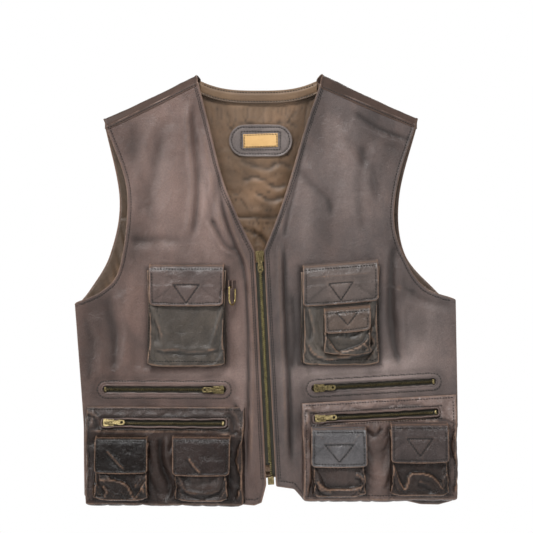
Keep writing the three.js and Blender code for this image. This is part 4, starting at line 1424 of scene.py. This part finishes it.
def make_cargo(name, folds, seed):
    cargo = CARGOS[name]
    height, width, tilt = cargo["height"], cargo["width"], cargo["tilt"]
    plane, body = cargo_seat(name), f"front_{name}"

    def depth(z):
        return cargo_depth(-z, height)

    points, faces, places = box_surface(width, height, depth, 3.0, tilt)
    sewn = (places[:, 1] > 0.99) | (places[:, 2] > 0.99)
    front = smooth(0.3, 0.0, places[:, 1])
    seam = (places[:, 1] < 0.01) & ((places[:, 0] % 1 < 0.001) | (places[:, 2] < 0.001))
    seam &= places[:, 2] < 0.97
    points = relaxed(points, faces, sewn, 3)
    x = points[:, 0]
    z = points[:, 2] - tilt * x * places[:, 2]
    low, high = cargo["zip"]
    beside = np.maximum(np.maximum(low - x, x - high), 0)
    zip_away = np.hypot(beside, np.maximum(np.abs(z + CARGO_ZIP) - 5.2, 0))
    r = Relief(x, z)
    soft = wander(x, z, 34, seed, 3)
    r.height += 1.3 * soft + 0.4 * wander(x, z, 12, seed + 1, 2)
    # Painted shade where the leather sinks.
    r.dark += 0.3 * smooth(0.1, -1, soft)
    folds(r)
    r.height *= smooth(1, 9, zip_away)
    r.height -= 5.0 * smooth(2.2, 0.0, zip_away) + 0.7 * hump(zip_away - 5, 1.6)
    # Painted shade in the groove beside the zip.
    r.dark += 0.5 * hump(zip_away - 5, 1.6)
    r.worn *= smooth(0, 3, zip_away)
    r.dark *= smooth(0, 3, zip_away) * 0.8 + 0.2
    # Painted shade round the small pockets.
    for mx, top, w, h in POCKETS_ON[name]:
        out = np.maximum(np.abs(x - mx) - w / 2, np.maximum(z - top + 8, top - h - z))
        r.height *= smooth(-4, 3, out) * 0.85 + 0.15
        r.dark += 0.75 * smooth(6, 0, out)
    r.worn = r.worn * front + 0.6 * seam + 0.5 * hump(z + 1.0, 1.4) * front
    # Painted shade on the gussets and base.
    r.dark = r.dark * front + 0.7 * (1 - front) * (places[:, 1] < 1)
    points[:, 1] -= r.height * np.clip(-points[:, 1] / 6, 0, 1)
    pins = np.where(sewn | ((zip_away < 5) & (places[:, 1] < 0.01)), 1.0, 0.0)
    for mx, top, w, h in POCKETS_ON[name]:
        inside = (np.abs(x - mx) < w / 2 - 6) & (z < top - 14) & (z > top - h + 2)
        pins = np.maximum(pins, np.where(inside, 0.95, 0.0))
    settled = settle(points, faces, pins, 0.022, frames=16, cap=4.0, pressure=0.3, stiff=0.8)
    settled[seam, 1] -= 0.9
    settled[:, 1] = np.where(sewn, settled[:, 1], np.minimum(settled[:, 1], -0.6))
    skin = Skin(settled, faces, plane, 1.8, r)
    tone = (0.3 if name == "right" else 0.1) * smooth(-CARGO_BAND - 4, -CARGO_BAND + 4, z)
    look = LOOKS["band" if name == "right" else "cargo"]
    obj = skin.build(f"cargo_leather_{name}", look, tone=tone, edge_wear=0.4, crumple=0.6)
    stand_in(obj, body, "pocket_leather", f"cargo_pocket_{name}")
    heap, half = Heap(), width / 2
    across = np.linspace(-half + 5, half - 5, 90)
    along = np.linspace(low - 6, high + 6, 80)
    up = np.linspace(-10, -height + 10, 50)
    rows = [(across, -4.5 + tilt * across), (across, -height + 6 + 0 * across)]
    rows += [(along, off - CARGO_ZIP + tilt * along) for off in (-9.5, 9.5)]
    rows += [(side * (half - 5) + 0 * up, up + tilt * side * half * (1 + up / height)) for side in (-1, 1)]
    for row in rows:
        stitches(heap, skin, np.stack(row, 1))
    stand_in(heap.build(f"cargo_stitches_{name}", LOOKS["thread"], plane), body, "pocket_leather")


# ------------------------------------------------------------------------------- zips

TOOTH = {"pitch": 3.0, "long": 1.6, "reach": 2.3, "out": 1.9}


def rounded_block(low, high, edge):
    """A block with cut corners round its outer (-Y) face."""
    (x0, y0, z0), (x1, y1, z1) = low, high
    e = edge
    ring_back = [(x0, y1, z0), (x1, y1, z0), (x1, y1, z1), (x0, y1, z1)]
    ring_mid = [(x0, y0 + e, z0), (x1, y0 + e, z0), (x1, y0 + e, z1), (x0, y0 + e, z1)]
    ring_top = [(x0 + e, y0, z0 + e), (x1 - e, y0, z0 + e), (x1 - e, y0, z1 - e), (x0 + e, y0, z1 - e)]
    points = ring_back + ring_mid + ring_top
    faces = [(3, 2, 1, 0), (8, 9, 10, 11)]
    for a, b in ((0, 4), (4, 8)):
        for i in range(4):
            j = (i + 1) % 4
            faces.append((a + i, a + j, b + j, b + i))
    return points, faces


def teeth(heap, start, end, sides, out=0.0):
    """Rows of interlocking teeth from start to end along X; sides are -1 and 1."""
    count = int((end - start) / TOOTH["pitch"])
    for side in sides:
        for i in range(count):
            x = start + (i + (0.0 if side < 0 else 0.5)) * TOOTH["pitch"]
            z = sorted((-side * 0.55, side * TOOTH["reach"]))
            low = (x, -out - TOOTH["out"], z[0])
            high = (x + TOOTH["long"], -out + 0.6, z[1])
            heap.add(*rounded_block(low, high, 0.35))


def tape_grid(start, end, low, high, y):
    columns, rows = max(8, int((end - start) / 5)), 5
    u, v = np.meshgrid(np.linspace(start, end, columns), np.linspace(low, high, rows))
    ripple = 0.12 * wander(u, v, 20, 61, 1)
    return np.stack([u, y - ripple, v], 2).reshape(-1, 3), grid_faces(rows, columns)


def make_tape(name, body, plane, start, end, low, high, y, slot="zip", nodes=()):
    points, faces = tape_grid(start, end, low, high, y)
    obj = Skin(points, faces, plane, 0.7).build(name, LOOKS["tape"], levels=0)
    return stand_in(obj, body, slot, *nodes)


def plate(outline, holes, thick, bevel=0.25):
    """A flat plate from an outline and holes, with softened edges, as points and faces."""
    curve = bpy.data.curves.new("plate", "CURVE")
    curve.dimensions = "2D"
    curve.fill_mode = "BOTH"
    curve.extrude = (thick / 2 - bevel) * 0.001
    curve.bevel_depth = bevel * 0.001
    curve.bevel_resolution = 1
    curve.offset = -bevel * 0.001
    for path in [outline, *holes]:
        line = curve.splines.new("POLY")
        line.points.add(len(path) - 1)
        for point, (x, z) in zip(line.points, path):
            point.co = (x * 0.001, z * 0.001, 0, 1)
        line.use_cyclic_u = True
    obj = bpy.data.objects.new("plate", curve)
    bpy.context.scene.collection.objects.link(obj)
    bpy.context.view_layer.update()
    mesh = bpy.data.meshes.new_from_object(obj.evaluated_get(bpy.context.evaluated_depsgraph_get()))
    points = np.array([v.co for v in mesh.vertices]) * 1000
    faces = [tuple(f.vertices) for f in mesh.polygons]
    bpy.data.objects.remove(obj)
    bpy.data.curves.remove(curve)
    bpy.data.meshes.remove(mesh)
    turned = np.stack([points[:, 0], -points[:, 2], points[:, 1]], 1)
    return turned, faces


def circle(x, z, radius, count=20):
    angles = np.arange(count) * 2 * math.pi / count
    return [(x + radius * math.cos(a), z + radius * math.sin(a)) for a in angles]


def make_slider(name, body, plane, way):
    """A slider with its bridge, over the chain at the plane's origin."""
    heap = Heap()
    shape = [(-8, -5.6), (-3, -6.0), (3, -4.6), (8, -4.9), (8, 4.9), (3, 4.6), (-3, 6.0), (-8, 5.6)]
    outline = [(x * way, z) for x, z in spline(shape + shape[:1], 40)[:-1]]
    if way < 0:
        outline = outline[::-1]
    points, faces = plate(outline, [], 1.4)
    heap.add(points + (0, -4.6, 0), faces)
    for side in (-1, 1):
        flange = rounded_block((-7.5, -4.2, side * 4.6 - 0.9), (7.5, -0.3, side * 4.6 + 0.9), 0.3)
        heap.add(*flange)
    arch = [(-5.4, -4.8, 0), (-5.0, -7.4, 0), (-3.4, -8.5, 0), (0, -8.8, 0)]
    arch += [(3.4, -8.5, 0), (5.0, -7.4, 0), (5.4, -4.8, 0)]
    heap.add(*tube(spline(arch, 26), 0.85, 8))
    obj = heap.build(f"{name}_slider_brass", LOOKS["brass"], plane)
    stand_in(obj, body, "brass", f"{name}_slider")


def make_pull(name, body, plane):
    """The pull, from its cross bar under the bridge to its round-eyed end."""
    outline = [(-1.0, -2.7), (5, -2.7), (9, -3.2), (17, -4.2)]
    outline += [(21 + 4.2 * math.cos(a), 4.2 * math.sin(a)) for a in np.linspace(-1.4, 1.4, 12)]
    outline += [(17, 4.2), (9, 3.2), (5, 2.7), (-1.0, 2.7)]
    window = [(0.7, -1.5), (5.2, -1.5), (5.2, 1.5), (0.7, 1.5)]
    points, faces = plate(outline, [window, circle(20.4, 0, 1.9)], 1.3)
    heap = Heap()
    heap.add(points, faces)
    ring = [(20.4 + 2.5 * math.cos(a), -0.5, 2.5 * math.sin(a)) for a in np.linspace(0, 2 * math.pi, 24)[:-1]]
    heap.add(*tube(ring, 0.42, 6, closed=True))
    for side in (-1, 1):
        rib = [(6.5, -0.55, side * 2.0), (12, -0.6, side * 2.5), (16.5, -0.55, side * 3.0)]
        heap.add(*tube(rib, 0.4, 6))
    obj = heap.build(f"{name}_pull_brass", LOOKS["brass"], plane)
    stand_in(obj, body, "brass", f"{name}_pull")


PULL_OUT = 6.3


def add_slider(name, zip_plane, place, way):
    seat = zip_plane @ at(place, 0, 0)
    make_slider(name, f"{name}_slider", seat, way)
    spin = turn("Y", 0 if way > 0 else math.pi)
    make_pull(name, f"{name}_pull", seat @ at(0, -PULL_OUT, 0) @ spin)


def welt(heap, path, lift, radius):
    """A rolled leather edge round an opening, in a zip's own plane."""
    points = [(x, -lift, z) for x, z in path]
    heap.add(*tube(points, radius, 8, closed=True))


def make_slit_zip(name):
    slit = SLITS[name]
    mx, mz = slit["middle"]
    body, length = f"front_{name}", slit["length"]
    plane = front_plane(name) @ at(mx, 0, mz) @ turn("Y", -math.atan(slit["tilt"]))
    half = length / 2
    tape = (-half - 1, half + 1, -7.0, 7.0, 0.2)
    make_tape(f"slit_tape_{name}", body, plane, *tape, nodes=(f"slit_zip_{name}",))
    chain = Heap()
    teeth(chain, -half + 3, half - 3, (-1, 1))
    stand_in(chain.build(f"slit_teeth_{name}", LOOKS["dark_teeth"], plane), body, "brass")
    edge = Heap()
    path = stadium_path(half + 0.2, 6.7, count=150)[:-1]
    wave = 0.35 * wander(path[:, 0], path[:, 1], 14, 71)
    welt(edge, path, 1.7, 1.5 + wave * 0.6)
    stand_in(edge.build(f"slit_welt_{name}", LOOKS[name], plane), body, "leather")
    add_slider(f"slit_zip_{name}", plane, slit["slider"], slit["way"])
    ends = Heap()
    place = half - 7 if slit["way"] > 0 else -half + 4
    ends.add(*rounded_block((place, -2.6, -3.6), (place + 3, 0.4, 3.6), 0.5))
    stand_in(ends.build(f"slit_stop_{name}", LOOKS["brass"], plane), body, "brass")


def make_cargo_zip(name):
    cargo = CARGOS[name]
    body = f"front_{name}"
    length = cargo["zip"][1] - cargo["zip"][0]
    plane = cargo_face(name)
    make_tape(f"cargo_tape_{name}", body, plane, -1, length + 1, -6.2, 6.2, 0.4, nodes=(f"cargo_zip_{name}",))
    chain = Heap()
    teeth(chain, 3, length - 6, (-1, 1))
    stand_in(chain.build(f"cargo_teeth_{name}", LOOKS["dark_teeth"], plane), body, "brass")
    ends = Heap()
    ends.add(*rounded_block((length - 6, -2.6, -3.4), (length - 2.5, 0.4, 3.4), 0.5))
    stand_in(ends.build(f"cargo_stop_{name}", LOOKS["brass"], plane), body, "brass")
    edge = Heap()
    path = stadium_path(length / 2 + 1, 6.3, 4.0, count=150)[:-1] + (length / 2, 0)
    wave = 0.8 * wander(path[:, 0], path[:, 1], 17, 72)
    path[:, 1] += wave
    welt(edge, path, 1.4 + LEATHER, 1.5)
    stand_in(edge.build(f"cargo_welt_{name}", LOOKS["band"], plane), body, "pocket_leather")
    add_slider(f"cargo_zip_{name}", plane, 10, 1)


def main_zip_plane(name):
    (tx, tz), (bx, bz) = ZIP_TOP, ZIP_BOTTOM
    down = math.atan2(tz - bz, bx - tx)
    return front_plane(name) @ at(tx, 0, tz) @ turn("Y", down)


def make_main_zip():
    (tx, tz), (bx, bz) = ZIP_TOP, ZIP_BOTTOM
    length = math.hypot(bx - tx, bz - tz)
    box_from = length - 13
    left, right = main_zip_plane("left"), main_zip_plane("right")
    # Z points to the right-hand front's side in this plane, as X runs down the zip.
    make_tape("main_tape_left", LEFT, left, 17, box_from - 17, -14, -0.4, 0.5, nodes=("main_zip_left",))
    make_tape("main_tape_right", RIGHT, right, 2, box_from, 0.4, 14, 0.5, nodes=("main_zip_right",))
    chain_left, chain_right = Heap(), Heap()
    teeth(chain_left, 17, box_from - 17, (-1,))
    teeth(chain_right, 17, box_from - 1, (1,))
    stand_in(chain_left.build("main_teeth_left", LOOKS["teeth"], left), LEFT, "brass")
    stand_in(chain_right.build("main_teeth_right", LOOKS["teeth"], right), RIGHT, "brass")
    box = Heap()
    box.add(*rounded_block((box_from + 1, -3.6, -4.6), (length, 1, 4.6), 0.8))
    box.add(*rounded_block((box_from - 0.4, -2.8, 0.8), (box_from + 2, 0.8, 4.2), 0.6))
    stand_in(box.build("zip_box_brass", LOOKS["brass"], right), RIGHT, "brass", "main_zip_box")
    add_slider("main_zip", right, 8, 1)


# ------------------------------------------------------------------------------ D-ring


def make_ring():
    twist = math.radians(-110)
    plane = front_plane("left") @ at(-50, -15.5, 334) @ turn("Z", twist)
    half, height, wire = 10.7, 26.5, 1.3
    bar = [(x, 0, 0) for x in np.linspace(-half, half, 12)]
    centre = half - height
    angles = np.linspace(0, -math.pi, 28)
    arc = [(half * math.cos(a), 0, centre + half * math.sin(a)) for a in angles]
    legs = [(half, 0, -4), (half, 0, -10)]
    back = [(-half, 0, -10), (-half, 0, -4)]
    heap = Heap()
    heap.add(*tube(respaced(np.array(bar + legs + arc + back + bar[:1]), 90)[:-1], wire, 10, closed=True))
    obj = heap.build("d_ring_metal", LOOKS["nickel"], plane)
    stand_in(obj, "d_ring", "brass", "d_ring")
    rows, columns = 30, 12
    angles = np.linspace(-2.2, math.pi + 2.2, rows)
    strap = []
    for a in angles:
        y, z = -2.9 * math.cos(a), -2.6 * math.sin(a)
        if a < 0:
            y, z = -2.9, -a * 5.0
        if a > math.pi:
            y, z = 2.9, (a - math.pi) * 5.0
        strap.append([(x, y, z) for x in np.linspace(-7, 7, columns)])
    points = np.array(strap).reshape(-1, 3)
    skin = Skin(points, grid_faces(rows, columns), plane, 1.5)
    tab = skin.build("ring_tab_leather", LOOKS["flap"])
    stand_in(tab, LEFT, "pocket_leather", "ring_tab")


# ---------------------------------------------------------------------------- assembly

POCKETS_ON = {
    "left": [(-65, -44, 84, 94), (57, -43, 84, 96)],
    "right": [(-64, -42, 84, 102), (59, -36, 92, 107)],
}


CHEST_SHADES = {
    "left": [(-120, 362, 61, 146)],
    "right": [(113, 364, 61, 146)],
}


def cargo_left_folds(r):
    r.lip([(-124, -36), (-104, -35), (-30, -35), (60, -36), (94, -38), (122, -47)], 3.0)
    r.crease([(-2, -40), (0, -80), (12, -112), (16, -146)], 8, 5.0, 0.9, 0.1)
    r.ridge([(-16, -44), (-14, -80), (-8, -130)], 9, 3.0, 0.2, 0.05)
    r.lip([(110, -142), (118, -110), (112, -80), (119, -46)], 3.5, 14)
    r.lip([(-108, -52), (-102, -90), (-110, -142)], 3.0, 12)
    r.ridge([(-122, -6), (-112, -14), (-114, -34)], 5, 2.5, 0.4, 0.4)
    r.crease([(-118, -8), (-106, -18), (-98, -34)], 5, 2.4, 0.5, 0.3)
    r.crease([(96, -4), (106, -18), (116, -40)], 6, 2.4, 0.5, 0.3)


def cargo_right_folds(r):
    r.lip([(-122, -34), (-100, -38), (-60, -35), (-20, -31), (30, -33), (70, -34), (119, -43)], 3.0)
    r.ridge([(0, -34), (-8, -70), (-4, -146)], 9, 3.6, 0.3, 0.05)
    r.crease([(-24, -40), (-8, -50), (2, -40)], 5, 3.0, 0.7, 0.2)
    r.lip([(112, -146), (119, -110), (112, -76), (117, -46)], 3.5, 14)
    r.lip([(-108, -50), (-106, -96), (-112, -148)], 3.0, 12)
    r.ridge([(-114, -4), (-108, -18), (-114, -36)], 5, 3.4, 0.5, 0.5)
    r.crease([(-112, -6), (-98, -22), (-100, -38)], 5, 3.4, 0.6, 0.4)
    r.crease([(-60, -6), (-20, -12), (30, -8), (80, -12)], 7, 2.2, 0.3, 0.1)


def folds_a(r):
    r.lip([(-40, -54), (-18, -51), (9, -60), (20, -79), (27, -73), (41, -54)], 3.6)
    r.crease([(-30, -62), (-24, -70), (-28, -78)], 4, 2.4, 0.7, 0.3)
    r.crease([(20, -62), (30, -66), (36, -76)], 4, 2.4, 0.7, 0.3)


def folds_b(r):
    r.ridge([(-36, -62), (0, -66), (38, -60)], 6, 2.6, 0.5, 0.15)
    r.crease([(-34, -70), (0, -76), (36, -70)], 4, 2.2, 0.5, 0.2)


def folds_c(r):
    r.lip([(42, -72), (30, -78), (-14, -80), (-30, -73), (-40, -68)][::-1], 3.4)
    r.crease([(-36, -78), (-26, -84), (-10, -86)], 4, 2.4, 0.6, 0.3)
    r.crease([(24, -62), (34, -66), (38, -76)], 4, 2.4, 0.6, 0.3)


def folds_d(r):
    path = [(-43, -50), (-36, -68), (-23, -85), (-16, -66), (-4, -62), (18, -68), (41, -91)]
    r.lip(path, 3.6, 13)
    r.crease([(-4, -76), (14, -84), (20, -92)], 4, 2.2, 0.6, 0.2)


def folds_chest_left(r):
    r.lip([(58, -116), (20, -121), (-20, -119), (-57, -117)], 2.6, 12, 0.5)
    r.crease([(-50, -70), (-40, -90), (-44, -112)], 8, 2.0, 0.3, 0.05)


def folds_chest_right(r):
    r.lip([(57, -118), (40, -124), (10, -130), (-22, -133), (-44, -126), (-54, -108)], 3.4, 12)
    r.crease([(50, -84), (44, -98), (54, -112)], 5, 3.4, 0.8, 0.4)
    r.crease([(-52, -60), (-44, -90), (-48, -112)], 6, 2.4, 0.5, 0.1)
    r.crease([(-34, -112), (0, -118), (30, -112)], 5, 2.4, 0.6, 0.2)


def folds_small_chest(r):
    r.lip([(-36, -34), (-26, -42), (-14, -54), (10, -49), (34, -37)], 3.2, 10)
    r.ridge([(-20, -34), (4, -38), (28, -30)], 4, 2.4, 0.5, 0.2)
    r.crease([(20, -44), (28, -50), (26, -56)], 3, 2.2, 0.7, 0.3)


def crease_a(r):
    r.crease([(-25, -22), (-12, -36), (6, -54)], 2.6, 1.8, 0.35, 0.4)
    r.ridge([(-30, -18), (-26, -34), (-30, -50)], 8, 1.2, 0.1, 0.05)


def crease_b(r):
    r.crease([(-22, -33), (-13, -46), (0, -61)], 2.8, 2.0, 0.35, 0.45)
    r.ridge([(-4, -46), (16, -40), (30, -44)], 6, 1.4, 0.2, 0.1)


def crease_top(r):
    r.ridge([(-56, -20), (0, -20), (56, -19)], 3.5, 1.2, 0.2, 0.3)


def crease_none(r):
    r.ridge([(-30, -36), (-34, -46), (-30, -54)], 6, 1.0, 0.1, 0.1)


def small_pocket(side, plane, letter, x, z, size, lid, seed, folds, triangle=None, fold=None):
    """One of the lower pockets: `size` is its width and height, `lid` its flap's three sizes."""
    seat = plane @ at(x, 0, z)
    body = f"front_{side}"
    make_pouch(
        f"small_pouch_{letter}", body, seat @ at(0, 0, -RIM_DOWN), LOOKS["pocket"],
        f"small_pocket_{letter}", *size, base=14, seed=seed, lid=lid[2], grow=0.08, folds=folds,
        tone={"b": 0.12, "c": 0.26, "d": 0.04}.get(letter, 0.0),
    )
    make_flap(
        f"small_flap_{letter}", f"small_flap_{letter}", seat, LOOKS[f"flap_{letter}"], *lid, seed + 5,
        triangle=triangle, folds=fold,
    )


def make_left_pockets():
    chest = front_plane("left") @ at(-120, -LEATHER, 370)
    make_pouch(
        "chest_pouch_left", LEFT, chest @ at(0, 0, -RIM_DOWN), LOOKS["chest"], "chest_pocket_left",
        122, 143, base=17, seed=101, lid=64, grow=0.03, cell=3.0, folds=folds_chest_left,
    )
    make_flap(
        "chest_flap_left", "chest_flap_left", chest, LOOKS["flap"], 115, 113, 64, 111,
        triangle=(39, 27, -32.6),
    )
    make_ring()
    make_cargo("left", cargo_left_folds, 121)
    plane = cargo_plane("left")
    small_pocket("left", plane, "a", -65, -44, (84, 84), (80, 82, 57), 131, folds_a, None, crease_a)
    small_pocket("left", plane, "b", 57, -43, (84, 86), (89, 87, 61), 141, folds_b, None, crease_b)


def make_right_pockets():
    tilt = 0.08
    chest = front_plane("right") @ at(113, -LEATHER, 372)
    make_pouch(
        "chest_pouch_right", RIGHT, chest @ at(0, 0, -RIM_DOWN), LOOKS["chest"], "chest_pocket_right",
        121, 143, base=17, seed=201, lid=63, tilt=tilt, grow=0.04, cell=3.0, folds=folds_chest_right,
        tone=0.14,
    )
    make_flap(
        "chest_flap_right", "chest_flap_right", chest, LOOKS["chest_flap"], 115, 116, 63, 211,
        tilt=tilt, triangle=(36.5, 26, -31.5), folds=crease_top,
    )
    slope = math.atan2(17 - RIM_DEPTH, 143)
    small = chest @ at(0, -RIM_DEPTH, -RIM_DOWN) @ turn("X", -slope) @ at(9, 0, -57.5)
    make_pouch(
        "small_chest_pouch", RIGHT, small @ at(0, 0, -RIM_DOWN), LOOKS["chest"], "small_chest_pocket",
        73, 60, base=12, seed=221, lid=39, tilt=tilt / 2, grow=0.08, folds=folds_small_chest,
    )
    make_flap(
        "small_chest_flap", "small_chest_flap", small, LOOKS["small_flap"], 71, 70, 39, 231,
        tilt=tilt, triangle=(32.8, 19, -9),
    )
    make_cargo("right", cargo_right_folds, 241)
    plane = cargo_plane("right")
    tri_c, tri_d = (43.5, 26, -27.5), (40, 27, -24)
    small_pocket("right", plane, "c", -64, -42, (84, 92), (84, 86, 61), 251, folds_c, tri_c, crease_none)
    small_pocket("right", plane, "d", 59, -36, (92, 97), (88, 89, 61), 261, folds_d, tri_d, crease_none)


def make_bags():
    for name in ("left", "right"):
        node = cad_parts[f"slit_pocket_bag_{name}"]
        node.data.materials.clear()
        node.data.materials.append(LOOKS["bag"])


# ------------------------------------------------------------------- stage and camera


def make_stage():
    radius, height, sides = 2.2, -1.25, 96
    angles = np.arange(sides) * 2 * math.pi / sides
    rim = [(radius * math.cos(a), radius * math.sin(a), height) for a in angles]
    floor = bpy.data.meshes.new("floor")
    floor.from_pydata(rim, [], [tuple(range(sides))])
    pale = bpy.data.materials.new("floor")
    pale.use_nodes = True
    shader = pale.node_tree.nodes["Principled BSDF"]
    shader.inputs["Base Color"].default_value = (0.93, 0.93, 0.93, 1)
    shader.inputs["Roughness"].default_value = 0.9
    floor.materials.append(pale)
    obj = bpy.data.objects.new("floor", floor)
    bpy.context.scene.collection.objects.link(obj)


def area_light(name, place, aim, size, power):
    light = bpy.data.lights.new(name, "AREA")
    light.shape = "RECTANGLE"
    light.size, light.size_y = size
    light.energy = power
    obj = bpy.data.objects.new(name, light)
    obj.location = place
    obj.rotation_euler = (Vector(aim) - Vector(place)).to_track_quat("-Z", "Y").to_euler()
    bpy.context.scene.collection.objects.link(obj)


def make_world():
    """A white studio to look at, which lights the vest only softly."""
    world = bpy.data.worlds.new("studio")
    bpy.context.scene.world = world
    world.use_nodes = True
    tree = world.node_tree
    soft = tree.nodes["Background"]
    soft.inputs["Color"].default_value = (0.97, 0.985, 1, 1)
    soft.inputs["Strength"].default_value = 0.4
    seen = tree.nodes.new("ShaderNodeBackground")
    seen.inputs["Color"].default_value = (1, 1, 1, 1)
    ray = tree.nodes.new("ShaderNodeLightPath")
    choose = tree.nodes.new("ShaderNodeMixShader")
    tree.links.new(ray.outputs["Is Camera Ray"], choose.inputs["Fac"])
    tree.links.new(soft.outputs["Background"], choose.inputs[1])
    tree.links.new(seen.outputs["Background"], choose.inputs[2])
    tree.links.new(choose.outputs["Shader"], tree.nodes["World Output"].inputs["Surface"])


def make_lights():
    middle = (0, 0, -0.3)
    area_light("key", (-0.6, -2.0, 2.0), middle, (1.2, 0.7), 105)
    area_light("side", (-2.3, -1.5, 0.3), middle, (0.7, 1.4), 26)
    area_light("fill", (2.0, -2.2, 0.2), middle, (1.0, 1.4), 16)
    area_light("rear", (1.2, 2.4, 1.6), middle, (1.4, 1.0), 75)
    area_light("rear_fill", (-2.0, 2.0, 0.2), middle, (1.0, 1.4), 30)


def make_camera():
    camera = bpy.data.cameras.new("camera")
    camera.sensor_width = 36
    away, view_width = 4.2, 0.810
    camera.lens = camera.sensor_width * away / view_width
    camera.clip_end = 50
    obj = bpy.data.objects.new("camera", camera)
    obj.location = (0.001, -0.03 - away, 0.3656 - HANGER_HEIGHT * 0.001)
    obj.rotation_euler = (math.pi / 2, 0, 0)
    bpy.context.scene.collection.objects.link(obj)
    bpy.context.scene.camera = obj


def make_vest():
    make_back()
    make_back_lining()
    make_neck()
    make_yoke("left")
    make_yoke("right")
    make_left_pockets()
    make_right_pockets()
    for name in ("left", "right"):
        make_front(name)
        make_slit_zip(name)
        make_cargo_zip(name)
    make_main_zip()
    make_bags()


make_stage()
make_world()
make_lights()
make_camera()
bpy.context.scene.view_settings.view_transform = "Standard"
make_vest()
